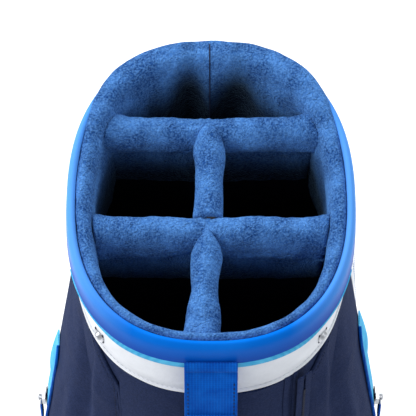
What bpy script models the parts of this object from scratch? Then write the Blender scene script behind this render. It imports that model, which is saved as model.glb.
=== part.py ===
"""A structured golf bag with a padded five-way top, standing on its base.

Frame: metres, +Z up, origin at the centre of the sole. The front, with the lift
handle, faces -Y. The spine is at +Y and the shoulder strap hangs at the rear right (+X).
The mouth is an oval whose plane slopes up towards the spine. Heights near the mouth are
given as a drop below that sloping plane, and widths as an inset from the band's outline.
"""

import math

import bmesh
import bpy
from mathutils import Matrix, Vector

# ------------------------------------------------------------------ driving dimensions
GAP = 0.0003

RIM_Z = 0.859
RIM_SLOPE = math.tan(math.radians(10.0))
RIM_HALF_WIDTH = 0.131
RIM_HALF_DEPTH = 0.145
OVAL_POWER = 2.4
EGG = 0.024
RING_POINTS = 48

BAND_THICKNESS = 0.0084
BAND_HEIGHT = 0.030
YOKE_INSET = 0.0033
YOKE_THICKNESS = 0.0020
WRAP_INSET = 0.0056
WRAP_THICKNESS = 0.0030
FRAME_INSET = WRAP_INSET + WRAP_THICKNESS + GAP
FRAME_THICKNESS = 0.0025
LINING_INSET = 0.0240
LINING_DEPTH = 0.150

BAR_DROP = 0.022
BAR_WIDTH = 0.008
BAR_DEPTH = 0.012
ROLL_RADIUS = 0.014
ROLL_PANEL = 0.009
REAR_BAR_Y = 0.071
FRONT_BAR_Y = -0.0255
SHEET_THICKNESS = 0.0015

SOLE_THICKNESS = 0.003
CUP_HEIGHT = 0.055
CUP_WALL = 0.0030
FLOOR_Z = 0.0078
PAD_TOP = 0.020

PANEL_INSET = 0.0028
POCKET_BACK_INSET = 0.0044
POCKET_FLARE = 0.133
POCKET_FLARE_START = 0.129
POCKET_BULGE = 0.0403
POCKET_BOTTOM = 0.085
POCKET_REAR = math.radians(14.5)

FRONT_POCKET_EDGE = math.radians(53.3)
FRONT_POCKET_BOTTOM = 0.375
BALL_POCKET_FACE = -0.187

HANDLE_WIDTH = 0.048
HANDLE_THICKNESS = 0.0024
SPINE_FACE_Y = 0.150

GUSSET_STAND = 0.0007
GUSSET_THICKNESS = 0.0012
SIDE_ZIP_Y = 0.008
SIDE_ZIP_TOP = 0.420
FRONT_ZIP_ANGLE = math.radians(-55.0)
FRONT_ZIP_Z = 0.425
BALL_ZIP_Z = 0.300
TAPE_WIDTH = 0.016
TAPE_THICKNESS = 0.0012
TEETH_HEIGHT = 0.0008

STRAP_X = 0.121
STRAP_Y = 0.078
UPPER_TAB_Z = 0.770
LOWER_TAB_Z = 0.150
WIRE = 0.0018
TOWEL_TAB_Z = 0.700

# Lower edge of the yoke: angle round the oval from the side towards the front, and drop.
YOKE_EDGE = (
    (13.0, 0.031), (20.0, 0.052), (27.0, 0.068), (35.0, 0.082), (50.0, 0.091), (65.0, 0.095), (90.0, 0.099),
)
# Front seam of a side pocket: drop, and angle round the oval.
POCKET_SEAM = (
    (0.031, 11.5), (0.052, 18.5), (0.068, 25.5), (0.082, 33.5), (0.116, 42.5), (0.152, 51.5), (1.0, 51.5),
)

SIDES = (("left", -1.0), ("right", 1.0))

COLOURS = {
    "band_blue": ((0.004, 0.164, 0.672, 1.0), 0.32, 0.0),
    "plush_blue": ((0.043, 0.148, 0.440, 1.0), 0.95, 0.0),
    "navy": ((0.028, 0.041, 0.100, 1.0), 0.80, 0.0),
    "white": ((0.84, 0.86, 0.89, 1.0), 0.50, 0.0),
    "cyan": ((0.080, 0.445, 0.760, 1.0), 0.55, 0.0),
    "webbing_blue": ((0.006, 0.105, 0.450, 1.0), 0.65, 0.0),
    "chrome": ((0.62, 0.63, 0.65, 1.0), 0.18, 1.0),
    "black_plastic": ((0.020, 0.022, 0.028, 1.0), 0.50, 0.0),
    "black_nylon": ((0.004, 0.005, 0.010, 1.0), 0.85, 0.0),
    "rubber": ((0.030, 0.032, 0.036, 1.0), 0.85, 0.0),
    "foam": ((0.060, 0.065, 0.075, 1.0), 0.95, 0.0),
    "fibreglass": ((0.30, 0.31, 0.32, 1.0), 0.45, 0.0),
}


# ------------------------------------------------------------------ scene and helpers
def clear_scene():
    """Remove every object, and give back the collections for parts and cutters."""
    for item in list(bpy.data.objects):
        bpy.data.objects.remove(item, do_unlink=True)
    made = []
    for title in ("golf_bag", "cutters"):
        collection = bpy.data.collections.new(title)
        bpy.context.scene.collection.children.link(collection)
        made.append(collection)
    return made


PARTS, CUTTERS = clear_scene()


def material(name):
    """The Principled material of this name, made on first use."""
    found = bpy.data.materials.get(name)
    if found:
        return found
    colour, roughness, metallic = COLOURS[name]
    made = bpy.data.materials.new(name)
    made.use_nodes = True
    shader = made.node_tree.nodes["Principled BSDF"]
    shader.inputs["Base Color"].default_value = colour
    shader.inputs["Roughness"].default_value = roughness
    shader.inputs["Metallic"].default_value = metallic
    made.diffuse_color = colour
    return made


def add_object(name, data, finish, collection=None):
    """Link a new object with its material to the parts, or to the collection given."""
    made = bpy.data.objects.new(name, data)
    if finish:
        data.materials.append(material(finish))
    (collection or PARTS).objects.link(made)
    if collection == CUTTERS:
        made.hide_render = True
        made.display_type = "WIRE"
    return made


def mesh_from(name, bm):
    """Turn a bmesh into smooth-shaded mesh data with its faces pointing out."""
    bmesh.ops.recalc_face_normals(bm, faces=bm.faces)
    data = bpy.data.meshes.new(name)
    bm.to_mesh(data)
    bm.free()
    data.shade_smooth()
    data.set_sharp_from_angle(angle=math.radians(35.0))
    return data


def loft(name, rings, finish, closed=False, collection=None):
    """Skin a list of rings. The last ring joins the first if closed, else both are capped."""
    bm = bmesh.new()
    rows = [[bm.verts.new(point) for point in ring] for ring in rings]
    pairs = list(zip(rows, rows[1:]))
    if closed:
        pairs.append((rows[-1], rows[0]))
    for low, high in pairs:
        for i in range(len(low)):
            j = (i + 1) % len(low)
            bm.faces.new((low[i], low[j], high[j], high[i]))
    if not closed:
        bm.faces.new(rows[0])
        bm.faces.new(rows[-1])
    return add_object(name, mesh_from(name, bm), finish, collection)


def box(name, low, high, finish, collection=None):
    """A box between two corners, from a unit cube."""
    bm = bmesh.new()
    bmesh.ops.create_cube(bm, size=1.0)
    size = Vector(high) - Vector(low)
    centre = (Vector(high) + Vector(low)) / 2
    bmesh.ops.scale(bm, vec=size, verts=bm.verts)
    bmesh.ops.translate(bm, vec=centre, verts=bm.verts)
    return add_object(name, mesh_from(name, bm), finish, collection)


def cylinder(name, radius, low, high, finish, sides=16, collection=None):
    """A round bar between two points."""
    low, high = Vector(low), Vector(high)
    bm = bmesh.new()
    bmesh.ops.create_cone(
        bm, cap_ends=True, segments=sides, radius1=radius, radius2=radius, depth=(high - low).length
    )
    turn = (high - low).to_track_quat("Z", "Y").to_matrix().to_4x4()
    bmesh.ops.transform(bm, matrix=Matrix.Translation((low + high) / 2) @ turn, verts=bm.verts)
    return add_object(name, mesh_from(name, bm), finish, collection)


def poly_curve(name, splines, dimensions="3D"):
    """Curve data with one POLY spline for each (points, cyclic) pair."""
    data = bpy.data.curves.new(name, "CURVE")
    data.dimensions = dimensions
    for points, cyclic in splines:
        spline = data.splines.new("POLY")
        spline.points.add(len(points) - 1)
        for target, point in zip(spline.points, points):
            target.co = (*point, 1.0) if len(point) == 3 else (*point, 0.0, 1.0)
        spline.use_cyclic_u = cyclic
    return data


def mesh_of_curve(name, data, finish, collection=None):
    """Replace curve data by a welded mesh object."""
    guide = bpy.data.objects.new(name + "_guide", data)
    bpy.context.scene.collection.objects.link(guide)
    graph = bpy.context.evaluated_depsgraph_get()
    made = bpy.data.meshes.new_from_object(guide.evaluated_get(graph))
    bm = bmesh.new()
    bm.from_mesh(made)
    bmesh.ops.remove_doubles(bm, verts=bm.verts, dist=1e-6)
    bpy.data.objects.remove(guide, do_unlink=True)
    bpy.data.meshes.remove(made)
    return add_object(name, mesh_from(name, bm), finish, collection)


def wire(name, points, radius, finish, cyclic=False, sides=1):
    """A round wire or piping along points."""
    data = poly_curve(name, [(points, cyclic)])
    data.bevel_depth = radius
    data.bevel_resolution = sides
    data.use_fill_caps = not cyclic
    return mesh_of_curve(name, data, finish)


def prism(name, outlines, depth, finish, collection=None):
    """A flat outline in XY, with its holes after it, thickened by depth about z = 0."""
    data = poly_curve(name, [(outline, True) for outline in outlines], "2D")
    data.fill_mode = "BOTH"
    data.extrude = depth / 2
    return mesh_of_curve(name, data, finish, collection)


def turned(name, profile, finish, sides=16):
    """A solid turned about Z from (radius, height) points, top to bottom on the outer side."""
    bm = bmesh.new()
    verts = [bm.verts.new((radius, 0.0, height)) for radius, height in profile]
    for first, second in zip(verts, verts[1:]):
        bm.edges.new((first, second))
    data = bpy.data.meshes.new(name)
    bm.to_mesh(data)
    bm.free()
    made = add_object(name, data, finish)
    screw = made.modifiers.new("turn", "SCREW")
    screw.steps = sides
    screw.render_steps = sides
    screw.use_merge_vertices = True
    screw.merge_threshold = 1e-5
    return made


def boolean(target, tool, operation):
    """Combine two meshes with an exact Boolean that stays on the target."""
    modifier = target.modifiers.new(tool.name, "BOOLEAN")
    modifier.operation = operation
    modifier.solver = "EXACT"
    modifier.object = tool


def set_origin(item, point):
    """Move an object's origin to a point without moving its surface."""
    shift = Vector(point) - item.location
    item.data.transform(Matrix.Translation(-shift))
    item.location = point


def interpolate(table, x):
    """Straight-line interpolation in a table of (x, y) pairs that rises in x."""
    if x <= table[0][0]:
        return table[0][1]
    for (x0, y0), (x1, y1) in zip(table, table[1:]):
        if x <= x1:
            return y0 + (y1 - y0) * (x - x0) / (x1 - x0)
    return table[-1][1]


def spread(first, last, count):
    """Evenly spaced numbers, both ends included."""
    return [first + (last - first) * i / (count - 1) for i in range(count)]


def mirrored(half):
    """An outline from its half, mirrored in the second axis and joined end to end."""
    return (*half, *((-x, y) for x, y in half[::-1]))


def smooth(x):
    """Smooth step from 0 to 1."""
    x = min(1.0, max(0.0, x))
    return x * x * (3 - 2 * x)


def signed_power(value, power):
    """A power that keeps the sign."""
    return math.copysign(abs(value) ** power, value)


# ------------------------------------------------------------------ the bag's oval
def oval(angle, inset=0.0):
    """A point of the oval, at an inset from the band's outline. Angle 0 is +X."""
    x = signed_power(math.cos(angle), 2 / OVAL_POWER) * (RIM_HALF_WIDTH - inset)
    y = signed_power(math.sin(angle), 2 / OVAL_POWER) * (RIM_HALF_DEPTH - inset)
    return x * (1 - EGG * y / RIM_HALF_DEPTH), y


def outward(angle):
    """The oval's outward direction in plan."""
    x = signed_power(math.cos(angle), 2 - 2 / OVAL_POWER) / RIM_HALF_WIDTH
    y = signed_power(math.sin(angle), 2 - 2 / OVAL_POWER) / RIM_HALF_DEPTH
    return Vector((x, y, 0.0)).normalized()


def rim(drop):
    """Heights on a plane parallel to the mouth, as a function of y."""
    return lambda y: RIM_Z + RIM_SLOPE * y - drop


def level(height):
    """Heights on a level plane."""
    return lambda y: height


RING_ANGLES = [2 * math.pi * i / RING_POINTS for i in range(RING_POINTS)]


def oval_ring(inset, height):
    """One ring of points round the oval."""
    ring = []
    for angle in RING_ANGLES:
        x, y = oval(angle, inset)
        ring.append((x, y, height(y)))
    return ring


def oval_solid(name, profile, finish, closed=True, collection=None):
    """Sweep (inset, height) profile points round the oval."""
    rings = [oval_ring(inset, height) for inset, height in profile]
    return loft(name, rings, finish, closed, collection)


def side_angle(side, degrees_forward):
    """The oval angle on one side, measured from the side towards the front."""
    angle = -math.radians(degrees_forward)
    return angle if side > 0 else math.pi - angle


def yoke_drop(angle):
    """Drop of the yoke's lower edge at an oval angle."""
    forward = math.degrees(math.asin(min(1.0, max(0.0, -math.sin(angle)))))
    return interpolate(YOKE_EDGE, forward)


# ------------------------------------------------------------------ base and body
def make_base():
    """Rubber sole, moulded cup and the foam pad that the club grips stand on."""
    sole_inset = 0.006
    sole = ((sole_inset, level(0.0)), (sole_inset, level(SOLE_THICKNESS)))
    oval_solid("base_sole", sole, "rubber", False)
    wall_inside = WRAP_INSET - GAP
    wall_outside = wall_inside - CUP_WALL
    chamfer = 0.004
    floor = level(FLOOR_Z - GAP)
    cup = (
        (wall_outside + chamfer, level(SOLE_THICKNESS + GAP)),
        (wall_outside, level(SOLE_THICKNESS + chamfer)),
        (wall_outside, level(CUP_HEIGHT)),
        (wall_inside, level(CUP_HEIGHT)),
        (wall_inside, floor),
    )
    oval_solid("base_cup", cup, "black_plastic", False)
    pad_inset = FRAME_INSET
    oval_solid("base_pad", ((pad_inset, level(FLOOR_Z)), (pad_inset, level(PAD_TOP))), "foam", False)


def make_wrap():
    """The tube of the body, from the base cup up into the band."""
    outside, inside = WRAP_INSET, WRAP_INSET + WRAP_THICKNESS
    top = rim(0.0133)
    profile = ((outside, level(FLOOR_Z)), (outside, top), (inside, top), (inside, level(FLOOR_Z)))
    oval_solid("body_wrap", profile, "navy")


def make_stays():
    """Three stiffening rods that keep the tube tall, from the pad to the lining."""
    radius = 0.004
    inset = FRAME_INSET + radius + 0.0006
    for name, angle in (("stay_right", 0.0), ("stay_left", math.pi), ("stay_rear", math.pi / 2)):
        x, y = oval(angle, inset)
        top = rim(LINING_DEPTH + 2 * GAP)(y - radius)
        cylinder(name, radius, (x, y, PAD_TOP + GAP), (x, y, top), "fibreglass", 8)


# ------------------------------------------------------------------ the five-way top
def slant(item):
    """Shear a flat-built piece of the top into the mouth's sloping plane."""
    shear = Matrix.Identity(4)
    shear[2][1] = RIM_SLOPE
    item.data.transform(shear)


BAR_AXES = (
    ("rear", "X", REAR_BAR_Y, -RIM_HALF_WIDTH, RIM_HALF_WIDTH),
    ("front", "X", FRONT_BAR_Y, -RIM_HALF_WIDTH, RIM_HALF_WIDTH),
    ("centre_rear", "Y", 0.0, FRONT_BAR_Y, REAR_BAR_Y),
    ("centre_front", "Y", 0.0, -RIM_HALF_DEPTH, FRONT_BAR_Y),
)


def bar_box(name, axis, offset, start, end, grow, collection):
    """The box of one divider bar, built flat at the bars' height and grown by a clearance."""
    half_width = BAR_WIDTH / 2 + grow
    half_depth = BAR_DEPTH / 2 + grow
    centre = RIM_Z - BAR_DROP
    if axis == "X":
        low, high = (start, offset - half_width), (end, offset + half_width)
    else:
        low, high = (offset - half_width, start), (offset + half_width, end)
    made = box(name, (*low, centre - half_depth), (*high, centre + half_depth), None, collection)
    slant(made)
    return made


def make_top_frame():
    """Moulded collar with the four divider bars in one piece, which everything above is built on."""
    outside, inside = FRAME_INSET, FRAME_INSET + FRAME_THICKNESS
    profile = ((outside, rim(0.070)), (outside, rim(0.0142)), (inside, rim(0.0142)), (inside, rim(0.070)))
    frame = oval_solid("top_frame", profile, "black_plastic")
    middle = outside + FRAME_THICKNESS / 2
    trim = oval_solid("frame_trim", ((middle, rim(0.2)), (middle, rim(-0.1))), None, False, CUTTERS)
    for name, axis, offset, start, end in BAR_AXES:
        slimmer = -GAP if axis == "Y" else 0.0
        bar = bar_box("frame_bar_" + name, axis, offset, start, end, slimmer, CUTTERS)
        boolean(bar, trim, "INTERSECT")
        boolean(frame, bar, "UNION")


def make_band():
    """Smooth band with a rolled top that closes the rim."""
    t = BAND_THICKNESS
    profile = (
        (-0.0009, rim(BAND_HEIGHT)),
        (-0.0003, rim(0.0160)),
        (0.0, rim(0.0080)),
        (0.0009, rim(0.0038)),
        (0.0028, rim(0.0010)),
        (0.0050, rim(0.0003)),
        (0.0072, rim(0.0016)),
        (t, rim(0.0046)),
        (t, rim(0.0130)),
        (0.0030, rim(0.0130)),
        (0.0026, rim(BAND_HEIGHT)),
    )
    oval_solid("cuff_band", profile, "band_blue")


def make_lining():
    """Plush lining that rolls over the collar and hangs inside the mouth."""
    behind_band = BAND_THICKNESS + GAP
    behind_frame = FRAME_INSET + FRAME_THICKNESS + GAP
    profile = (
        (behind_band, rim(0.0040)),
        (behind_band, rim(0.0136)),
        (behind_frame, rim(0.0136)),
        (behind_frame, rim(0.0706)),
        (FRAME_INSET, rim(0.0706)),
        (FRAME_INSET, rim(LINING_DEPTH)),
        (0.0140, rim(LINING_DEPTH)),
        (0.0215, rim(0.0700)),
        (LINING_INSET, rim(0.0350)),
        (LINING_INSET - 0.0003, rim(0.0160)),
        (0.0210, rim(0.0060)),
        (0.0165, rim(0.0016)),
        (0.0120, rim(0.0016)),
    )
    lining = oval_solid("cuff_lining", profile, "plush_blue")
    for name, axis, offset, start, end in BAR_AXES:
        if name != "centre_rear":
            slot = bar_box("lining_slot_" + name, axis, offset, start, end, GAP, CUTTERS)
            boolean(lining, slot, "DIFFERENCE")


def roll_outlines():
    """Section of a padded divider: a roll with a hanging panel, and the hole for its bar."""
    half_panel = ROLL_PANEL / 2
    foot = BAR_DROP - LINING_DEPTH
    start = math.asin(half_panel / ROLL_RADIUS)
    arc = [-math.pi / 2 - start - (2 * math.pi - 2 * start) * i / 18 for i in range(19)]
    outline = [(-half_panel, foot)]
    outline += [(ROLL_RADIUS * math.cos(a), ROLL_RADIUS * math.sin(a)) for a in arc]
    outline.append((half_panel, foot))
    x, y = BAR_WIDTH / 2 + GAP, BAR_DEPTH / 2 + GAP
    return outline, [(-x, -y), (x, -y), (x, y), (-x, y)]


def make_dividers():
    """Plush rolls that slip over the divider bars, with their hanging panels."""
    clear = ROLL_RADIUS + GAP
    stops = {
        "rear": (-RIM_HALF_WIDTH, RIM_HALF_WIDTH),
        "front": (-RIM_HALF_WIDTH, RIM_HALF_WIDTH),
        "centre_rear": (FRONT_BAR_Y + clear, REAR_BAR_Y - clear),
        "centre_front": (-RIM_HALF_DEPTH, FRONT_BAR_Y - clear),
    }
    inset = LINING_INSET + GAP
    mouth = oval_solid("mouth_trim", ((inset, rim(0.3)), (inset, rim(-0.1))), None, False, CUTTERS)
    for name, axis, offset, _, _ in BAR_AXES:
        start, end = stops[name]
        roll = prism("divider_" + name, roll_outlines(), end - start, "plush_blue")
        stand = Matrix.Rotation(math.radians(90.0), 4, "X")
        if axis == "X":
            stand = Matrix.Rotation(math.radians(90.0), 4, "Z") @ stand
            centre = Vector(((start + end) / 2, offset, RIM_Z - BAR_DROP))
        else:
            centre = Vector((offset, (start + end) / 2, RIM_Z - BAR_DROP))
        roll.data.transform(Matrix.Translation(centre) @ stand)
        slant(roll)
        if name != "centre_rear":
            boolean(roll, mouth, "INTERSECT")
        if axis == "X":
            for other, _, bar_x, bar_start, bar_end in BAR_AXES[2:]:
                if bar_start <= offset <= bar_end:
                    title = f"slot_{name}_{other}"
                    slot = bar_box(title, "Y", bar_x, bar_start, bar_end, GAP, CUTTERS)
                    boolean(roll, slot, "DIFFERENCE")


def make_divider_sheets():
    """Full-length nylon sheets that carry each divider down to the base pad."""
    half = SHEET_THICKNESS / 2
    top = rim(LINING_DEPTH + 2 * GAP)
    spans = (
        ("rear", (-0.1075, REAR_BAR_Y - half), (0.1075, REAR_BAR_Y + half)),
        ("front", (-0.1190, FRONT_BAR_Y - half), (0.1190, FRONT_BAR_Y + half)),
        ("centre_rear", (-half, FRONT_BAR_Y + 2 * half), (half, REAR_BAR_Y - 2 * half)),
        ("centre_front", (-half, -0.1345), (half, FRONT_BAR_Y - 2 * half)),
    )
    for name, (x0, y0), (x1, y1) in spans:
        corners = ((x0, y0), (x1, y0), (x1, y1), (x0, y1))
        foot = [(x, y, PAD_TOP + GAP) for x, y in corners]
        head = [(x, y, top(y)) for x, y in corners]
        loft("divider_sheet_" + name, [foot, head], "black_nylon")


# ------------------------------------------------------------------ trim under the band
def make_yoke():
    """White yoke round the front, under the band, with its snaps for a rain hood."""
    top = rim(0.0133)
    angles = [math.radians(a) for a in spread(-13.0, -167.0, 34)]
    rings = []
    for angle in angles:
        lower = rim(yoke_drop(angle))
        outside = oval(angle, YOKE_INSET)
        inside = oval(angle, YOKE_INSET + YOKE_THICKNESS)
        rings.append([
            (*outside, top(outside[1])),
            (*inside, top(inside[1])),
            (*inside, lower(inside[1])),
            (*outside, lower(outside[1])),
        ])
    loft("yoke", rings, "white")


def make_piping():
    """Thin piping in the seam between the band and the yoke."""
    radius = 0.0018
    points = []
    for degrees in spread(-19.0, -161.0, 30):
        x, y = oval(math.radians(degrees), 0.0011)
        points.append((x, y, rim(BAND_HEIGHT + GAP + radius + 0.0004)(y)))
    wire("cuff_piping", points, radius, "cyan")


def make_snaps():
    """Domed snaps that stand out of the yoke on both sides."""
    profile = (
        (0.0, 0.0036),
        (0.0021, 0.0033),
        (0.0034, 0.0023),
        (0.0038, 0.0012),
        (0.0050, 0.0010),
        (0.0052, 0.0),
        (0.0, 0.0),
    )
    for name, side in SIDES:
        angle = side_angle(side, 42.0)
        x, y = oval(angle, YOKE_INSET - 2 * GAP)
        snap = turned("snap_stud_" + name, profile, "chrome", 14)
        snap.location = (x, y, rim(0.058)(y))
        snap.rotation_mode = "QUATERNION"
        snap.rotation_quaternion = outward(angle).to_track_quat("Z", "Y")


# ------------------------------------------------------------------ pockets
def pocket_bulge(below):
    """How far a side pocket stands out at a depth below the rim's centre."""
    out = min(POCKET_BULGE, max(0.0, POCKET_FLARE * (below - POCKET_FLARE_START)))
    foot = RIM_Z - POCKET_BOTTOM - below
    return out * (0.62 + 0.38 * smooth(foot / 0.045))


def pocket_width(angle, front):
    """Share of the bulge at an oval angle: it rises from the front seam and falls at the rear."""
    corner, shoulder = math.radians(-14.0), math.radians(5.0)
    if angle < corner:
        return math.sin((angle - front) / (corner - front) * math.pi / 2)
    return 1.0 if angle <= shoulder else smooth((POCKET_REAR - angle) / (POCKET_REAR - shoulder))


def pocket_skin(angle, front, below):
    """A point of the right side pocket's outer skin in plan."""
    x, y = oval(angle, PANEL_INSET)
    out = pocket_bulge(below) * pocket_width(angle, front)
    return Vector((x, y, 0.0)) + outward(angle) * out


POCKET_LEVELS = (
    0.0325, 0.052, 0.068, 0.082, 0.116, 0.152, 0.205, 0.270,
    0.345, 0.432, 0.560, 0.690, 0.734, 0.760, 0.774,
)


def make_side_pocket(name, side):
    """Long pocket that grows out of the band's underside and flares down the bag's side."""
    rings = []
    for below in POCKET_LEVELS:
        front = -math.radians(interpolate(POCKET_SEAM, below))
        slope = RIM_SLOPE * (1 - smooth((below - 0.10) / 0.20))
        skin = [pocket_skin(a, front, below) for a in spread(front, POCKET_REAR, 13)]
        back = [oval(a, POCKET_BACK_INSET) for a in spread(POCKET_REAR, front, 12)]
        plan = [(point[0], point[1]) for point in skin] + back
        rings.append([(side * x, y, RIM_Z - below + slope * y) for x, y in plan])
    loft("side_pocket_" + name, rings, "navy")


GUSSET_LEVELS = (0.559, 0.552, 0.535, 0.510, 0.470, 0.430, 0.300, 0.128)


def side_face_x(height):
    """Where the flat outer face of a side pocket lies, at the zip's line."""
    plan = pocket_skin(0.0, -math.radians(POCKET_SEAM[-1][1]), RIM_Z - height)
    return plan.x


def make_gusset(name, side):
    """Zip gusset on the outer face, arched at its top, with piping along its front edge."""
    front_edge, rear_edge = -0.014, 0.024
    middle = (front_edge + rear_edge) / 2
    rings, edge = [], []
    for height in GUSSET_LEVELS:
        open_share = min(1.0, 0.25 + (GUSSET_LEVELS[0] - height) / 0.040)
        half = (rear_edge - front_edge) / 2 * math.sqrt(open_share * (2 - open_share))
        x = side_face_x(height) + GUSSET_STAND
        ys = (middle - half, middle + half)
        rings.append([
            (side * x, ys[0], height),
            (side * x, ys[1], height),
            (side * (x + GUSSET_THICKNESS), ys[1], height),
            (side * (x + GUSSET_THICKNESS), ys[0], height),
        ])
        edge.append((side * (x + GUSSET_THICKNESS), ys[0] - 0.0024, height))
    loft("pocket_gusset_" + name, rings, "cyan")
    wire("pocket_piping_" + name, edge, 0.0017, "webbing_blue")


def front_bulge(height):
    """How far the front pocket stands out at a height."""
    return 0.0015 + 0.025 * smooth((0.735 - height) / 0.30)


def make_front_pocket():
    """Flat front pocket under the yoke, between the two side pockets."""
    angles = spread(-FRONT_POCKET_EDGE, FRONT_POCKET_EDGE - math.pi, 15)
    rings = []
    for height in (None, 0.700, 0.660, 0.610, 0.550, 0.480, 0.420, 0.390, FRONT_POCKET_BOTTOM):
        skin, back = [], []
        for i, angle in enumerate(angles):
            share = math.sin(math.pi * i / (len(angles) - 1)) ** 1.3
            bulge = front_bulge(height or 0.735)
            if height == FRONT_POCKET_BOTTOM:
                bulge *= 0.55
            x, y = oval(angle, PANEL_INSET)
            point = Vector((x, y, 0.0)) + outward(angle) * bulge * share
            top = rim(yoke_drop(angle) + 0.0016)(y)
            skin.append((point.x, point.y, height or top))
            x, y = oval(angle, POCKET_BACK_INSET)
            back.append((x, y, height or top))
        rings.append(skin + back[::-1])
    loft("front_pocket", rings, "navy")


def make_ball_pocket():
    """Boxy pocket low on the front, with a flat face for its zip."""
    half_width, root = 0.078, -0.1235
    depth = root - BALL_POCKET_FACE
    levels = ((0.062, 0.72), (0.070, 0.90), (0.090, 1.0), (0.320, 1.0), (0.342, 0.88), (0.352, 0.66))
    back = [oval(a, POCKET_BACK_INSET) for a in spread(math.radians(-122.5), math.radians(-57.5), 9)]
    rings = []
    for height, share in levels:
        skin = []
        for turn in spread(0.0, math.pi, 19):
            x = half_width * signed_power(math.cos(turn), 0.25)
            y = root - depth * share * math.sin(turn) ** 0.25
            skin.append((x, y, height))
        rings.append(skin + [(x, y, height) for x, y in back])
    loft("ball_pocket", rings, "navy")


# ------------------------------------------------------------------ zippers
def zip_frame(point, normal, along):
    """Matrix of a zipper: local X across the tape, local Y out of it, local Z along it."""
    normal, along = Vector(normal), Vector(along)
    across = normal.cross(along)
    turn = Matrix((across, normal, along)).transposed().to_4x4()
    return Matrix.Translation(point) @ turn


def make_tape(name, frame, start, end, finish):
    """Straight zip tape with a raised row of teeth, from start to end along the track."""
    half, teeth = TAPE_WIDTH / 2, 0.0022
    low, high = 0.0, TAPE_THICKNESS
    raised = TAPE_THICKNESS + TEETH_HEIGHT
    outline = mirrored(((half, low), (half, high), (teeth, high), (teeth, raised)))
    rings = [[(x, y, z) for x, y in outline] for z in (start, end)]
    tape = loft(name, rings, finish)
    tape.data.transform(frame)


def make_slider(name, frame):
    """Zip slider: a tapered body on the teeth, with a bridge that the pull hangs on."""
    base = TAPE_THICKNESS + TEETH_HEIGHT + GAP
    top = base + 0.0034
    body = loft(name, [
        [(-0.0046, base, -0.008), (0.0046, base, -0.008), (0.0042, top, -0.0074), (-0.0042, top, -0.0074)],
        [(-0.0056, base, 0.007), (0.0056, base, 0.007), (0.0050, top, 0.0064), (-0.0050, top, 0.0064)],
    ], "chrome")
    outer = mirrored(((-0.0055, -0.0010), (-0.0055, 0.0030), (-0.0035, 0.0042)))
    hole = mirrored(((-0.0041, 0.0003), (-0.0041, 0.0024), (-0.0030, 0.0029)))
    bridge = prism(name + "_bridge", (outer, hole), 0.0026, None, CUTTERS)
    on_edge = Matrix.Rotation(math.radians(-90.0), 4, "Y")
    bridge.data.transform(Matrix.Translation((0.0, top, 0.0)) @ on_edge)
    boolean(body, bridge, "UNION")
    body.matrix_world = frame
    bridge.matrix_world = frame
    return top


def make_pull(name, frame, bridge_foot):
    """Pull tab: an eye under the bridge and a long grip that hangs from it."""
    hinge = Matrix.Translation((0.0, bridge_foot + 0.0016, -0.0027))
    outline = mirrored(
        ((-0.0036, 0.0009), (-0.0036, -0.0075), (-0.0050, -0.0100), (-0.0050, -0.0380), (-0.0030, -0.0400))
    )
    eye = ((-0.0020, -0.0009), (0.0020, -0.0009), (0.0020, -0.0062), (-0.0020, -0.0062))
    pull = prism(name, (outline, eye), 0.0016, "black_plastic")
    pull.data.transform(Matrix.Rotation(math.radians(90.0), 4, "X"))
    pull.matrix_world = frame @ hinge


def make_zip(title, frame, start, end):
    """Tape, slider and pull of one zipper whose closed slider stands at the frame's origin."""
    make_tape(title + "_zip_track", frame, start, end, "black_nylon")
    bridge_foot = make_slider(title + "_zip_slider", frame)
    make_pull(title + "_zip_pull", frame, bridge_foot)


def make_zippers():
    """The four zippers: on both side pockets, the front pocket and the ball pocket."""
    for name, side in SIDES:
        x = side_face_x(SIDE_ZIP_TOP) + GUSSET_STAND + GUSSET_THICKNESS + GAP
        frame = zip_frame((side * x, SIDE_ZIP_Y, SIDE_ZIP_TOP), (side, 0.0, 0.0), (0.0, 0.0, 1.0))
        make_zip("side_" + name, frame, 0.130 - SIDE_ZIP_TOP, 0.010)
    normal = outward(FRONT_ZIP_ANGLE)
    x, y = oval(FRONT_ZIP_ANGLE, PANEL_INSET)
    foot = Vector((x, y, FRONT_ZIP_Z)) + normal * 0.0062
    make_zip("front", zip_frame(foot, normal, (0.0, 0.0, 1.0)), -0.012, 0.290)
    face = (0.050, BALL_POCKET_FACE - GAP, BALL_ZIP_Z)
    make_zip("ball", zip_frame(face, (0.0, -1.0, 0.0), (1.0, 0.0, 0.0)), -0.108, 0.010)


# ------------------------------------------------------------------ handles and spine
def make_strip(name, path, half_width, thickness, finish, x=0.0):
    """Flat webbing in a plane of constant x, along (y, z) points."""
    rings = []
    for i, (y, z) in enumerate(path):
        before, after = path[max(i - 1, 0)], path[min(i + 1, len(path) - 1)]
        along = Vector((after[0] - before[0], after[1] - before[1])).normalized()
        dy, dz = -along.y * thickness / 2, along.x * thickness / 2
        rings.append([
            (x - half_width, y - dy, z - dz),
            (x + half_width, y - dy, z - dz),
            (x + half_width, y + dy, z + dz),
            (x - half_width, y + dy, z + dz),
        ])
    return loft(name, rings, finish)


def make_handles():
    """Front lift handle of ribbed webbing, and the shorter handle on the spine."""
    front = (
        (-0.1478, 0.8020), (-0.1500, 0.7960), (-0.1600, 0.7760), (-0.1685, 0.7460), (-0.1715, 0.7150),
        (-0.1695, 0.6850), (-0.1625, 0.6600), (-0.1562, 0.6430), (-0.1556, 0.6240),
    )
    make_strip("front_handle", front, HANDLE_WIDTH / 2, HANDLE_THICKNESS, "webbing_blue")
    rear = (
        (0.1518, 0.8050), (0.1520, 0.7900), (0.1640, 0.7700), (0.1765, 0.7350), (0.1790, 0.7050),
        (0.1765, 0.6750), (0.1640, 0.6400), (0.1520, 0.6200), (0.1518, 0.6050),
    )
    make_strip("spine_handle", rear, 0.019, HANDLE_THICKNESS, "webbing_blue")


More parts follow.
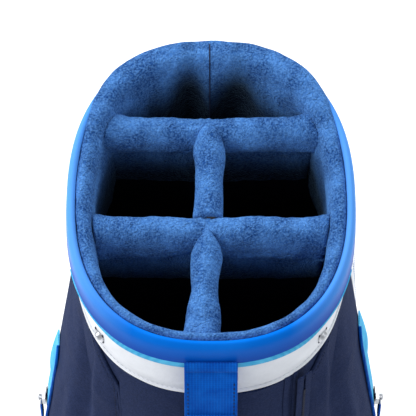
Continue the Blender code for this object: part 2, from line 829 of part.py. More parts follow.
def make_spine():
    """Padded panel down the back, flat where the bag leans on a cart or a wall."""
    back = [oval(a, POCKET_BACK_INSET) for a in spread(math.radians(66.0), math.radians(114.0), 9)]
    rings = []
    root, edge, flat = 0.1365, 0.060, 0.052
    for height, share in ((0.070, 0.55), (0.080, 1.0), (0.832, 1.0), (0.844, 0.50)):
        face = root + (SPINE_FACE_Y - root) * share
        skin = [(-edge, root), (-flat, face), (-0.020, face), (0.020, face), (flat, face), (edge, root)]
        rings.append([(x, y, height) for x, y in back + skin])
    loft("spine_panel", rings, "navy")


# ------------------------------------------------------------------ shoulder strap
def make_tab(name, side, height):
    """Sewn webbing tab on the bag's side, with a loop for a ring's straight bar."""
    turned_in = 0.0010
    wall = [oval(a, WRAP_INSET - 2 * GAP) for a in spread(math.radians(23.5), math.radians(33.5), 4)]
    face = STRAP_X - 0.0040
    plan = [*wall, (face - 0.006, STRAP_Y + 0.010), (face, STRAP_Y + 0.008), (face, STRAP_Y - 0.010)]
    low, high = height - 0.010, height + 0.010
    tab = loft(name, [[(side * x, y, z) for x, y in plan] for z in (low, high)], "navy")
    radius, reach = 0.0045, 0.0024
    turn = spread(math.pi / 2, -math.pi / 2, 7)
    back = face - STRAP_X - turned_in
    outline = [(back, -radius), (back, radius)]
    outline += [(radius * math.cos(a), radius * math.sin(a)) for a in turn]
    hole = [(reach * math.cos(a), reach * math.sin(a)) for a in spread(0.0, 2 * math.pi * 9 / 10, 10)]
    loop = prism(name + "_loop", (outline, hole), 0.016, None, CUTTERS)
    stand = Matrix(((side, 0, 0, 0), (0, 0, 1, 0), (0, 1, 0, 0), (0, 0, 0, 1)))
    loop.data.transform(Matrix.Translation((side * STRAP_X, STRAP_Y, height)) @ stand)
    if stand.determinant() < 0:
        loop.data.flip_normals()
    boolean(tab, loop, "UNION")


def d_ring_points(x, height, down):
    """Closed path of a D-ring whose straight bar lies along Y at the height given."""
    half = 0.0130
    points = [(x, STRAP_Y - half, height), (x, STRAP_Y + half, height)]
    for turn in spread(0.0, math.pi, 11):
        y = STRAP_Y + half * math.cos(turn)
        points.append((x, y, height + down * (0.004 + half * math.sin(turn))))
    return points


def make_ring(name, side, height, down):
    """A wire D-ring through a tab, with its origin on its bar."""
    ring = wire(name, d_ring_points(side * STRAP_X, height, down), WIRE, "chrome", cyclic=True)
    set_origin(ring, (side * STRAP_X, STRAP_Y, height))


def make_hook(name, height, down):
    """Snap hook clipped round a D-ring, with the barrel of its swivel."""
    thick = 0.0021
    near = height + down * (0.017 - WIRE - thick - 0.0006)
    length, half = 0.022, 0.0062
    points = []
    for turn in spread(0.0, 2 * math.pi * 17 / 18, 18):
        end = near + down * half if math.sin(turn) > 0 else near + down * (length - half)
        points.append((STRAP_X + half * math.cos(turn), STRAP_Y, end - down * half * math.sin(turn)))
    hook = wire(name, points, thick, "chrome", cyclic=True)
    start = near + down * (length - 0.0012)
    end = start + down * 0.010
    foot, head = (STRAP_X, STRAP_Y, start), (STRAP_X, STRAP_Y, end)
    barrel = cylinder(name + "_barrel", 0.0042, foot, head, None, 12, CUTTERS)
    boolean(hook, barrel, "UNION")
    return end


def make_eye(name, start, down):
    """Swivel eye under a hook: a neck and a flat loop that the webbing is folded through."""
    half_width, height, thick = 0.0150, 0.0105, 0.0018
    neck_start = start + down * GAP
    top = neck_start + down * (0.0040 + thick)
    x, y = STRAP_X, STRAP_Y
    points = [(x, y - half_width, top), (x, y + half_width, top)]
    points += [(x, y + half_width, top + down * height), (x, y - half_width, top + down * height)]
    eye = wire(name, points, thick, "chrome", cyclic=True)
    neck = cylinder(name + "_neck", 0.0032, (x, y, neck_start), (x, y, top), None, 12, CUTTERS)
    boolean(eye, neck, "UNION")
    set_origin(eye, (x, y, top))
    neck.location = (0.0, 0.0, 0.0)
    return top + down * height


PAD_PATH = (
    (0.1300, 0.655), (0.1352, 0.620), (0.1392, 0.580), (0.1418, 0.540), (0.1432, 0.500),
    (0.1432, 0.460), (0.1416, 0.420), (0.1386, 0.380), (0.1340, 0.340),
)


def strap_rings(path, half_widths, thickness):
    """Eight-sided sections along (x, z) points, for webbing and padding that bow in XZ."""
    rings = []
    for i, (x, z) in enumerate(path):
        before, after = path[max(i - 1, 0)], path[min(i + 1, len(path) - 1)]
        along = Vector((after[0] - before[0], after[1] - before[1])).normalized()
        out = Vector((-along.y, along.x)) * thickness / 2
        wide, edge = half_widths[i], 0.45
        corner = min(0.5 * thickness, 0.2 * wide)
        section = (
            (-wide, edge), (-wide + corner, 1.0), (wide - corner, 1.0), (wide, edge),
            (wide, -edge), (wide - corner, -1.0), (-wide + corner, -1.0), (-wide, -edge),
        )
        rings.append([(x + out.x * t, STRAP_Y + w, z + out.y * t) for w, t in section])
    return rings


def make_shoulder_strap():
    """Padded strap bowed off the bag's side, its webbing ends, hardware and adjuster."""
    make_tab("strap_tab_upper", 1.0, UPPER_TAB_Z)
    make_tab("strap_tab_lower", 1.0, LOWER_TAB_Z)
    make_ring("strap_ring_upper", 1.0, UPPER_TAB_Z, -1.0)
    make_ring("strap_ring_lower", 1.0, LOWER_TAB_Z, 1.0)
    upper = make_eye("strap_eye_upper", make_hook("strap_hook_upper", UPPER_TAB_Z, -1.0), -1.0)
    lower = make_eye("strap_eye_lower", make_hook("strap_hook_lower", LOWER_TAB_Z, 1.0), 1.0)
    widths = [0.019, 0.025, 0.027, 0.027, 0.027, 0.027, 0.027, 0.025, 0.019]
    pad = loft("shoulder_strap", strap_rings(PAD_PATH, widths, 0.014), "white")
    half, web = 0.0125, 0.0030
    top_path = [(STRAP_X, upper - 0.0022), (0.1262, 0.6740), (0.1299, 0.6556)]
    low_path = [(0.1339, 0.3394), (0.1312, 0.3150), (0.1214, 0.2260), (STRAP_X, lower + 0.0022)]
    ends = [loft("strap_webbing_upper", strap_rings(top_path, [half] * 3, web), "navy")]
    ends.append(loft("strap_webbing_lower", strap_rings(low_path, [half] * 4, web), "navy"))
    for item in (pad, *ends):
        set_origin(item, (STRAP_X, STRAP_Y, item.location.z))
    make_adjuster(Vector((0.1312, STRAP_Y, 0.3150)), Vector((0.1214, STRAP_Y, 0.2260)))


def make_adjuster(high, low):
    """Adjuster frame round the lower webbing, free to slide along its straight run."""
    along = (low - high).normalized()
    outer = ((-0.0165, -0.0042), (0.0165, -0.0042), (0.0165, 0.0042), (-0.0165, 0.0042))
    slot = ((-0.0131, -0.0021), (0.0131, -0.0021), (0.0131, 0.0021), (-0.0131, 0.0021))
    adjuster = prism("strap_adjuster", (outer, slot), 0.013, "black_plastic")
    across = Vector((0.0, 1.0, 0.0))
    turn = Matrix((across, along.cross(across), along)).transposed().to_4x4()
    adjuster.matrix_world = Matrix.Translation(high + along * 0.012) @ turn


def make_towel_ring():
    """Towel ring on the left side, hanging in its tab."""
    make_tab("towel_tab", -1.0, TOWEL_TAB_Z)
    make_ring("towel_ring", -1.0, TOWEL_TAB_Z, -1.0)


def main():
    """Build every piece of the bag."""
    make_base()
    make_wrap()
    make_stays()
    make_top_frame()
    make_band()
    make_lining()
    make_dividers()
    make_divider_sheets()
    make_yoke()
    make_piping()
    make_snaps()
    for name, side in SIDES:
        make_side_pocket(name, side)
        make_gusset(name, side)
    make_front_pocket()
    make_ball_pocket()
    make_zippers()
    make_handles()
    make_spine()
    make_shoulder_strap()
    make_towel_ring()


main()
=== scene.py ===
"""The golf bag as it looks: its soft goods, trim and finishes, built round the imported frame.

Lengths are in metres, in the frame's own axes: +Z up, the front towards -Y and the
shoulder strap at +X. Heights near the mouth are drops below its sloping plane, and widths
are insets from the band's oval outline. Angle 0 on the oval is +X and -90 degrees is the front.
"""

import math

import bmesh
import bpy
from mathutils import Matrix, Vector, noise


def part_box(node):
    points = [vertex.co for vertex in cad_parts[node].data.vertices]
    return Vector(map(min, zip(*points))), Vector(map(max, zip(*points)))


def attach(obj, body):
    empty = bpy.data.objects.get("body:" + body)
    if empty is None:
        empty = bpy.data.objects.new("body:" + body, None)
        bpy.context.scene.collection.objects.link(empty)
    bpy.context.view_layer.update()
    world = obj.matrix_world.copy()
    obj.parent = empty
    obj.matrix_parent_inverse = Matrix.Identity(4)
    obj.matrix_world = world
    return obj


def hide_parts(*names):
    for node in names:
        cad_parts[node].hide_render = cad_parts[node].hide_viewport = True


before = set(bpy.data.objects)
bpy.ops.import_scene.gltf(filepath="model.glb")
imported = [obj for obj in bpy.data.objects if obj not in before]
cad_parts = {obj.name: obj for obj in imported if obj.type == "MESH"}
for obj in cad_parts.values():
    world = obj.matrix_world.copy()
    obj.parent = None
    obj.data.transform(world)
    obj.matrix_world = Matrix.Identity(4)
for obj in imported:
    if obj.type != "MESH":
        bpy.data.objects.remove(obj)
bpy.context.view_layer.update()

# ------------------------------------------------------------------ sizes shared with the CAD
RIM_Z = 0.859
RIM_SLOPE = math.tan(math.radians(10.0))
RIM_HALF_WIDTH = 0.131
RIM_HALF_DEPTH = 0.145
OVAL_POWER = 2.4
EGG = 0.024
BAND_THICKNESS = 0.0084
BAND_HEIGHT = 0.030
YOKE_INSET = 0.0033
WRAP_INSET = 0.0056
LINING_DEPTH = 0.150
BAR_DROP = 0.022
REAR_BAR_Y = 0.071
FRONT_BAR_Y = -0.0255
FLOOR_Z = 0.0078
PANEL_INSET = 0.0028
POCKET_BACK_INSET = 0.0044
POCKET_FLARE = 0.133
POCKET_FLARE_START = 0.129
POCKET_BULGE = 0.0403
POCKET_BOTTOM = 0.085
POCKET_TOP = 0.0325
POCKET_FOOT = RIM_Z - POCKET_BOTTOM
POCKET_REAR = math.radians(14.5)
FRONT_POCKET_EDGE = math.radians(53.3)
FRONT_POCKET_BOTTOM = 0.375
BALL_POCKET_FACE = -0.187
SPINE_FACE_Y = 0.150
GUSSET_STAND = 0.0007
GUSSET_THICKNESS = 0.0012
TAPE_THICKNESS = 0.0012
TEETH_HEIGHT = 0.0008
BRIDGE_HEIGHT = 0.0003 + 0.0034 + 0.0016
SIDE_ZIP_Y = 0.008
SIDE_ZIP_TOP = 0.420
FRONT_ZIP_ANGLE = math.radians(-55.0)
FRONT_ZIP_Z = 0.425
BALL_ZIP_Z = 0.300
STRAP_X = 0.121
STRAP_Y = 0.078
# Degrees from the side towards the front, and the drop of the yoke's lower edge there.
YOKE_EDGE = (
    (13.0, 0.031), (20.0, 0.052), (27.0, 0.068), (35.0, 0.082), (50.0, 0.091), (65.0, 0.095), (90.0, 0.099),
)
# Depth below the rim's centre, and degrees from the side to a side pocket's front seam there.
POCKET_SEAM = (
    (0.031, 11.5), (0.052, 18.5), (0.068, 25.5), (0.082, 33.5), (0.116, 42.5), (0.152, 51.5), (1.0, 51.5),
)
SIDES = (("left", -1.0), ("right", 1.0))

# ------------------------------------------------------------------ sizes seen only here
WRAP_TOP_DROP = 0.0133
TUCK = 0.0087
GUSSET_TOPS = {"left": 0.562, "right": 0.603}
SNAP_DEGREES = 42.0
SNAP_DROP = 0.0665
WIRE = 0.0018
CLOTH_VOXEL = 0.0036
CLOTH_FRAMES = 20
CAMERA_AIM = Vector((-0.0027, -0.0126, 0.8518))
CAMERA_PITCH = math.radians(60.0)
CAMERA_DISTANCE = 2.4
STUDIO_LIGHTS = (
    ("key", (-1.9, -0.5, 2.5), 1.3, 47.0, (1.0, 1.0, 1.0)),
    ("fill", (1.9, -1.2, 2.1), 1.6, 13.0, (0.95, 0.97, 1.0)),
    ("back_left", (-1.5, 1.5, 2.1), 0.9, 40.0, (0.95, 0.98, 1.0)),
    ("back_right", (1.3, 1.7, 2.2), 0.9, 36.0, (0.95, 0.98, 1.0)),
)


# ------------------------------------------------------------------ camera, light and floor
def make_camera():
    """A long lens in front of the bag, looking 60 degrees down into its mouth."""
    data = bpy.data.cameras.new("camera")
    data.lens = 229.9
    data.sensor_width = 36.0
    camera = bpy.data.objects.new("camera", data)
    bpy.context.scene.collection.objects.link(camera)
    away = Vector((0.0, -math.cos(CAMERA_PITCH), math.sin(CAMERA_PITCH)))
    camera.location = CAMERA_AIM + away * CAMERA_DISTANCE
    camera.rotation_euler = (-away).to_track_quat("-Z", "Y").to_euler()
    bpy.context.scene.camera = camera


def make_light(name, spot, size, energy, colour):
    """A square soft box that faces the bag's top."""
    data = bpy.data.lights.new(name, "AREA")
    data.size = size
    data.energy = energy
    data.color = colour
    lamp = bpy.data.objects.new(name, data)
    bpy.context.scene.collection.objects.link(lamp)
    lamp.location = spot
    lamp.rotation_euler = (Vector((0.0, 0.0, 0.80)) - Vector(spot)).to_track_quat("-Z", "Y").to_euler()


def make_studio():
    """Pale floor that dims a little towards the front and glows faintly, a painted light that keeps it
    white; even surround and four soft boxes.
    """
    bpy.context.scene.view_settings.view_transform = "Standard"
    world = bpy.data.worlds.new("studio")
    world.use_nodes = True
    surround = world.node_tree.nodes["Background"]
    surround.inputs["Color"].default_value = (0.93, 0.96, 1.0, 1.0)
    surround.inputs["Strength"].default_value = 0.52
    bpy.context.scene.world = world
    for light in STUDIO_LIGHTS:
        make_light(*light)
    bm = bmesh.new()
    bmesh.ops.create_grid(bm, x_segments=8, y_segments=8, size=9.0)
    data = bpy.data.meshes.new("floor")
    bm.to_mesh(data)
    bm.free()
    floor = bpy.data.objects.new("floor", data)
    bpy.context.scene.collection.objects.link(floor)
    paint = Finish("floor_paint", 0.9)
    pale = paint.mix(paint.noise(0.8, 2.0), (0.93, 0.93, 0.93), (0.96, 0.96, 0.96))
    paint.colour(paint.mix(paint.remap(paint.y, -1.3, 0.0), (0.55, 0.56, 0.58), pale))
    # Painted light: the floor glows faintly though it is no lamp.
    paint.shader.inputs["Emission Color"].default_value = (1.0, 1.0, 1.0, 1.0)
    paint.shader.inputs["Emission Strength"].default_value = 0.16
    data.materials.append(paint.material)


# ------------------------------------------------------------------ procedural finishes
class Finish:
    """One procedural material, built up round its Principled shader."""

    def __init__(self, name, roughness, metallic=0.0, sockets=()):
        self.material = bpy.data.materials.new(name)
        self.material.use_nodes = True
        self.tree = self.material.node_tree
        self.shader = self.tree.nodes["Principled BSDF"]
        self.shader.inputs["Roughness"].default_value = roughness
        self.shader.inputs["Metallic"].default_value = metallic
        for title, value in sockets:
            self.shader.inputs[title].default_value = value
        self.place = self.add("ShaderNodeTexCoord").outputs["Object"]
        split = self.add("ShaderNodeSeparateXYZ")
        self.join(self.place, split.inputs[0])
        self.x, self.y, self.z = split.outputs
        self.last_normal = None

    def add(self, kind, **settings):
        """A node with its settings."""
        node = self.tree.nodes.new(kind)
        for title, value in settings.items():
            setattr(node, title, value)
        return node

    def join(self, source, target):
        """Link two sockets, or set a plain value."""
        if isinstance(source, bpy.types.NodeSocket):
            self.tree.links.new(source, target)
        elif isinstance(source, tuple) and len(source) == 3 and target.type == "RGBA":
            target.default_value = (*source, 1.0)
        else:
            target.default_value = source

    def math(self, operation, first, second=0.0):
        """Arithmetic on two values."""
        node = self.add("ShaderNodeMath", operation=operation)
        self.join(first, node.inputs[0])
        self.join(second, node.inputs[1])
        return node.outputs[0]

    def noise(self, size, detail=2.0, stretch=(1.0, 1.0, 1.0)):
        """Cloudy values whose blobs are about size across, longer where stretch is above 1."""
        scaled = self.add("ShaderNodeVectorMath", operation="DIVIDE")
        self.join(self.place, scaled.inputs[0])
        scaled.inputs[1].default_value = [size * s for s in stretch]
        node = self.add("ShaderNodeTexNoise")
        self.join(scaled.outputs[0], node.inputs["Vector"])
        node.inputs["Scale"].default_value = 1.0
        node.inputs["Detail"].default_value = detail
        return node.outputs["Fac"]

    def cells(self, size):
        """Distance from the nearest of many pebbles about size across."""
        node = self.add("ShaderNodeTexVoronoi")
        self.join(self.place, node.inputs["Vector"])
        node.inputs["Scale"].default_value = 1.0 / size
        return node.outputs["Distance"]

    def ridges(self, value, pitch):
        """Rounded ridges from 0 to 1 along a value, pitch apart."""
        wave = self.math("SINE", self.math("MULTIPLY", value, 2.0 * math.pi / pitch))
        return self.remap(wave, -1.0, 1.0)

    def round_bag(self):
        """Distance round the bag's side, in metres."""
        back = self.math("MULTIPLY", self.y, -1.0)
        return self.math("MULTIPLY", self.math("ARCTAN2", self.x, back), RIM_HALF_WIDTH)

    def level(self):
        """Height with the slope of the mouth taken out."""
        return self.math("SUBTRACT", self.z, self.math("MULTIPLY", self.y, RIM_SLOPE))

    def remap(self, value, low, high, to_low=0.0, to_high=1.0):
        """A value carried from one range to another and held inside it."""
        node = self.add("ShaderNodeMapRange")
        for socket, number in zip(node.inputs, (value, low, high, to_low, to_high)):
            self.join(number, socket)
        return node.outputs[0]

    def mix(self, share, first, second):
        """A colour between two colours."""
        node = self.add("ShaderNodeMix", data_type="RGBA")
        self.join(share, node.inputs[0])
        self.join(first, node.inputs[6])
        self.join(second, node.inputs[7])
        return node.outputs[2]

    def colour(self, value):
        """Use a colour as the surface's own."""
        self.join(value, self.shader.inputs["Base Color"])

    def roughness(self, value, low, high):
        """Let the roughness follow a value from 0 to 1."""
        self.join(self.remap(value, 0.0, 1.0, low, high), self.shader.inputs["Roughness"])

    def relief(self, height, depth):
        """Add a bump of that depth, in metres, over the bumps so far."""
        node = self.add("ShaderNodeBump")
        node.inputs["Strength"].default_value = 1.0
        node.inputs["Distance"].default_value = depth
        self.join(height, node.inputs["Height"])
        if self.last_normal:
            self.join(self.last_normal, node.inputs["Normal"])
        self.last_normal = node.outputs[0]
        self.join(self.last_normal, self.shader.inputs["Normal"])


def woven_finish(name, dark, light, sheen):
    """Twill-woven polyester that follows the bag's round."""
    made = Finish(name, 0.8, sockets=(
        ("Specular IOR Level", 0.02), ("Sheen Weight", sheen), ("Sheen Roughness", 0.5),
    ))
    around = made.round_bag()
    twill = made.ridges(made.math("ADD", around, made.z), 0.0017)
    threads = made.ridges(made.math("SUBTRACT", made.z, made.math("MULTIPLY", around, 0.5)), 0.0011)
    cloth = made.math("MULTIPLY", made.math("ADD", twill, threads), 0.5)
    shade = made.mix(cloth, dark, light)
    clouds = made.remap(made.noise(0.060, 3.0), 0.30, 0.70)
    shade = made.mix(made.math("MULTIPLY", clouds, 0.22), shade, light)
    grain = made.remap(made.noise(0.0017, 2.0), 0.40, 0.62)
    slub = tuple(value * 1.9 for value in light)
    made.colour(made.mix(made.math("MULTIPLY", grain, 0.26), shade, slub))
    made.roughness(made.noise(0.004), 0.70, 0.88)
    made.relief(made.noise(0.032, 3.0), 0.0034)
    made.relief(cloth, 0.00022)
    return made.material


def plush_finish():
    """Brushed velour whose pile lies in patches. Painted shade darkens it into the bag, most in two dips
    either side of the rear seam.
    """
    made = Finish("plush", 0.95, sockets=(
        ("Specular IOR Level", 0.04), ("Sheen Weight", 0.14), ("Sheen Roughness", 0.4),
        ("Sheen Tint", (0.35, 0.65, 1.0, 1.0)),
    ))
    patches = made.remap(made.noise(0.022, 4.0, (1.0, 1.0, 1.5)), 0.42, 0.62)
    strokes = made.remap(made.noise(0.0036, 3.0, (1.0, 1.0, 2.4)), 0.36, 0.66)
    pile = made.remap(made.noise(0.0018, 2.0), 0.36, 0.64)
    shade = made.mix(patches, (0.010, 0.054, 0.210), (0.056, 0.185, 0.500))
    shade = made.mix(made.math("MULTIPLY", strokes, 0.34), shade, (0.010, 0.050, 0.190))
    shade = made.mix(made.math("MULTIPLY", pile, 0.46), shade, (0.130, 0.330, 0.720))
    # Painted shade: the colour is painted darker with depth below the mouth, starting sooner on the rear
    # wall, most in two dips either side of its seam, and later at the front.
    gather = made.math("MULTIPLY", made.math("SUBTRACT", made.x, 0.002), 2.0 * math.pi / 0.047)
    valley_shade_depth = made.remap(made.math("COSINE", gather), -1.0, 1.0, 0.050, 0.022)
    beside = made.remap(made.math("ABSOLUTE", made.x), 0.050, 0.072)
    shade_sink = made.math("ADD", made.math("MULTIPLY", valley_shade_depth, made.math("SUBTRACT", 1.0, beside)),
                     made.math("MULTIPLY", beside, -0.024))
    rear = made.math("MULTIPLY", made.remap(made.y, 0.085, 0.112), shade_sink)
    front = made.remap(made.y, -0.040, 0.030, 0.020, 0.0)
    height = made.math("ADD", made.math("SUBTRACT", made.level(), rear), front)
    # Painted shade: the share of the velour's own colour kept before it is painted near-black.
    lit = made.math("POWER", made.remap(height, RIM_Z - 0.094, RIM_Z - 0.036), 1.5)
    made.colour(made.mix(lit, (0.0008, 0.0024, 0.0110), shade))
    made.relief(made.noise(0.011, 3.0), 0.0020)
    made.relief(strokes, 0.0008)
    made.relief(pile, 0.0007)
    return made.material


def band_finish():
    """Satin moulded band with a fine grain, with painted shade that makes it deeper blue below its crown
    and a painted highlight that makes it paler at its sides.
    """
    made = Finish("band", 0.3, sockets=(("Specular IOR Level", 0.025),))
    clouds = made.remap(made.noise(0.050, 3.0), 0.35, 0.65)
    upper = made.mix(clouds, (0.001, 0.140, 0.630), (0.003, 0.165, 0.700))
    # Painted shade: below its crown the band is painted a deeper blue.
    crown = made.remap(made.level(), RIM_Z - 0.026, RIM_Z - 0.004)
    # Painted highlight: the crown is painted paler blue towards both sides.
    sides = made.remap(made.math("ABSOLUTE", made.x), 0.070, 0.122, 0.0, 0.42)
    upper = made.mix(made.math("MULTIPLY", sides, crown), upper, (0.200, 0.480, 0.860))
    made.colour(made.mix(crown, (0.0005, 0.072, 0.430), upper))
    made.roughness(made.noise(0.006, 3.0), 0.27, 0.40)
    made.relief(made.noise(0.0009, 2.0), 0.00006)
    return made.material


def leather_finish(name, tone, depth):
    """Coated leather cloth with a fine pebble grain."""
    made = Finish(name, 0.5, sockets=(
        ("Specular IOR Level", 0.20), ("Coat Weight", 0.03), ("Coat Roughness", 0.4),
    ))
    soiled = tuple(value * 0.90 for value in tone)
    made.colour(made.mix(made.remap(made.noise(0.030, 4.0), 0.35, 0.70), tone, soiled))
    made.roughness(made.noise(0.005), 0.40, 0.58)
    made.relief(made.noise(0.014, 2.0), 0.0008)
    made.relief(made.cells(0.0011), depth)
    return made.material


def webbing_finish(name, dark, light, across):
    """Webbing with fine lengthwise cords, crossed by weft ribs. across is 0 for X and 1 for Y."""
    made = Finish(name, 0.65, sockets=(
        ("Specular IOR Level", 0.03), ("Sheen Weight", 0.02), ("Sheen Roughness", 0.4),
    ))
    cords = made.ridges((made.x, made.y)[across], 0.0027)
    ribs = made.ridges(made.z, 0.0019)
    cloth = made.math("ADD", made.math("MULTIPLY", cords, 0.6), made.math("MULTIPLY", ribs, 0.4))
    wear = made.remap(made.noise(0.018, 3.0), 0.35, 0.65)
    made.colour(made.mix(made.math("MULTIPLY", made.math("ADD", cloth, wear), 0.5), dark, light))
    made.roughness(made.noise(0.003), 0.55, 0.75)
    made.relief(cloth, 0.00045)
    return made.material


def metal_finish(name, tone, low, high):
    """Plated or enamelled metal with fine handling marks."""
    made = Finish(name, low, 1.0)
    made.colour(made.mix(made.remap(made.noise(0.003, 3.0), 0.4, 0.7), tone, tuple(v * 0.82 for v in tone)))
    made.roughness(made.noise(0.0016, 3.0), low, high)
    made.relief(made.noise(0.0007), 0.00002)
    return made.material


def moulded_finish(name, tone, light, grain, low, high):
    """Moulded plastic, rubber or foam with a fine cast grain."""
    made = Finish(name, low, sockets=(("Specular IOR Level", 0.22),))
    made.colour(made.mix(made.remap(made.noise(0.02, 4.0), 0.35, 0.7), tone, light))
    made.roughness(made.noise(0.004), low, high)
    made.relief(made.noise(grain, 2.0), grain * 0.12)
    return made.material


# Name, tone, lighter tone, grain size, and least and greatest roughness.
MOULDED = {
    "blue_thread": ("blue_thread", (0.004, 0.060, 0.300), (0.006, 0.085, 0.400), 0.0006, 0.6, 0.8),
    "dark_thread": ("dark_thread", (0.006, 0.010, 0.032), (0.012, 0.018, 0.050), 0.0006, 0.6, 0.8),
    "white_thread": ("white_thread", (0.70, 0.72, 0.76), (0.80, 0.82, 0.85), 0.0006, 0.6, 0.8),
    "black_plastic": ("black_plastic", (0.018, 0.020, 0.027), (0.026, 0.028, 0.036), 0.0012, 0.42, 0.60),
    "rubber": ("sole_rubber", (0.026, 0.028, 0.032), (0.040, 0.042, 0.046), 0.0022, 0.80, 0.95),
    "foam": ("base_foam", (0.045, 0.050, 0.060), (0.070, 0.075, 0.085), 0.0018, 0.90, 0.97),
    "fibreglass": ("fibreglass", (0.26, 0.27, 0.28), (0.33, 0.34, 0.35), 0.0010, 0.40, 0.55),
}
# Name, dark tone, light tone, and the axis across the webbing: 0 for X and 1 for Y.
WEBBINGS = {
    "cyan": ("cyan_ribbed", (0.030, 0.330, 0.640), (0.130, 0.560, 0.860), 1),
    "webbing_blue": ("blue_webbing", (0.001, 0.050, 0.340), (0.004, 0.124, 0.560), 0),
    "strap_webbing": ("navy_webbing", (0.014, 0.022, 0.060), (0.046, 0.062, 0.135), 1),
}


def make_finishes():
    """Every material, by the name it is asked for."""
    made = {
        "plush_blue": plush_finish(),
        "band_blue": band_finish(),
        "navy": woven_finish("navy_twill", (0.007, 0.012, 0.040), (0.022, 0.034, 0.088), 0.010),
        "black_nylon": woven_finish("black_nylon", (0.002, 0.003, 0.006), (0.005, 0.006, 0.011), 0.0),
        "white": leather_finish("white_leather", (0.84, 0.86, 0.90), 0.00012),
        "chrome": metal_finish("chrome", (0.58, 0.59, 0.62), 0.22, 0.38),
    }
    for slot, values in WEBBINGS.items():
        made[slot] = webbing_finish(*values)
    for slot, values in MOULDED.items():
        made[slot] = moulded_finish(*values)
    return made


# ------------------------------------------------------------------ the oval and small maths
def oval(angle, inset=0.0):
    """A point of the oval in plan."""
    x = signed_power(math.cos(angle), 2 / OVAL_POWER) * (RIM_HALF_WIDTH - inset)
    y = signed_power(math.sin(angle), 2 / OVAL_POWER) * (RIM_HALF_DEPTH - inset)
    return x * (1 - EGG * y / RIM_HALF_DEPTH), y


def outward(angle):
    """The oval's outward direction in plan."""
    x = signed_power(math.cos(angle), 2 - 2 / OVAL_POWER) / RIM_HALF_WIDTH
    y = signed_power(math.sin(angle), 2 - 2 / OVAL_POWER) / RIM_HALF_DEPTH
    return Vector((x, y, 0.0)).normalized()


def signed_power(value, power):
    """A power that keeps the sign."""
    return math.copysign(abs(value) ** power, value)


def rim(drop, y):
    """Height of a plane parallel to the mouth."""
    return RIM_Z + RIM_SLOPE * y - drop


def wall_x(y, inset):
    """Half width of the oval at y."""
    share = min(1.0, abs(y) / (RIM_HALF_DEPTH - inset))
    return (RIM_HALF_WIDTH - inset) * (1 - share ** OVAL_POWER) ** (1 / OVAL_POWER)


def spread(first, last, count):
    """Evenly spaced numbers, both ends included."""
    return [first + (last - first) * i / (count - 1) for i in range(count)]


def smooth(x):
    """Smooth step from 0 to 1."""
    x = min(1.0, max(0.0, x))
    return x * x * (3 - 2 * x)


def bump(x, centre, width):
    """A bell of height 1."""
    return math.exp(-(((x - centre) / width) ** 2))


def flow(table, x):
    """A smooth curve through a table of (x, y) pairs that rises in x."""
    if x <= table[0][0]:
        return table[0][1]
    if x >= table[-1][0]:
        return table[-1][1]
    i = next(k for k in range(len(table) - 1) if x <= table[k + 1][0])
    (x0, y0), (x1, y1) = table[i], table[i + 1]
    before, after = table[max(i - 1, 0)], table[min(i + 2, len(table) - 1)]
    slope0 = (y1 - before[1]) / (x1 - before[0])
    slope1 = (after[1] - y0) / (after[0] - x0)
    s = (x - x0) / (x1 - x0)
    wide = x1 - x0
    return (
        (2 * s**3 - 3 * s**2 + 1) * y0 + (s**3 - 2 * s**2 + s) * wide * slope0
        + (3 * s**2 - 2 * s**3) * y1 + (s**3 - s**2) * wide * slope1
    )


def interpolate(table, x):
    """Straight-line interpolation in a table of (x, y) pairs that rises in x."""
    if x <= table[0][0]:
        return table[0][1]
    for (x0, y0), (x1, y1) in zip(table, table[1:]):
        if x <= x1:
            return y0 + (y1 - y0) * (x - x0) / (x1 - x0)
    return table[-1][1]


def rounded(points, steps, closed=True):
    """A smooth curve through points, as steps points for each one."""
    count = len(points)
    made = []
    for i in range(count if closed else count - 1):
        near = [i + k for k in (-1, 0, 1, 2)]
        near = [k % count if closed else min(max(k, 0), count - 1) for k in near]
        a, b, c, d = (Vector(points[k]) for k in near)
        for k in range(steps):
            s = k / steps
            square, cube = 2 * a - 5 * b + 4 * c - d, 3 * b - a - 3 * c + d
            made.append(0.5 * (2 * b + (c - a) * s + square * s**2 + cube * s**3))
    if not closed:
        made.append(Vector(points[-1]))
    return made


def along_path(points, i):
    """The direction of an open line of points at its point i."""
    return (points[min(i + 1, len(points) - 1)] - points[max(i - 1, 0)]).normalized()


def wobble(place, size, seed=0.0):
    """Smooth noise from about -1 to 1 whose blobs are size across."""
    return noise.noise(Vector(place) / size + Vector((seed, seed * 1.7, seed * 0.6)))


# ------------------------------------------------------------------ mesh and piece helpers
FINISHES = make_finishes()


def new_object(name, bm):
    """An object from a bmesh, with its faces pointing out and shaded smooth."""
    bmesh.ops.recalc_face_normals(bm, faces=bm.faces)
    data = bpy.data.meshes.new(name)
    bm.to_mesh(data)
    bm.free()
    data.shade_smooth()
    data.set_sharp_from_angle(angle=math.radians(50.0))
    made = bpy.data.objects.new(name, data)
    bpy.context.scene.collection.objects.link(made)
    return made


def loft(name, rings, closed=False):
    """Skin a list of closed rings. The last joins the first if closed, else both ends are capped."""
    bm = bmesh.new()
    rows = [[bm.verts.new(point) for point in ring] for ring in rings]
    pairs = list(zip(rows, rows[1:]))
    if closed:
        pairs.append((rows[-1], rows[0]))
    for low, high in pairs:
        for i in range(len(low)):
            j = (i + 1) % len(low)
            bm.faces.new((low[i], low[j], high[j], high[i]))
    if not closed:
        for row in (rows[0], rows[-1]):
            cap = bmesh.ops.triangulate(bm, faces=[bm.faces.new(row)])
            for face in cap["faces"]:
                face.smooth = True
    return new_object(name, bm)


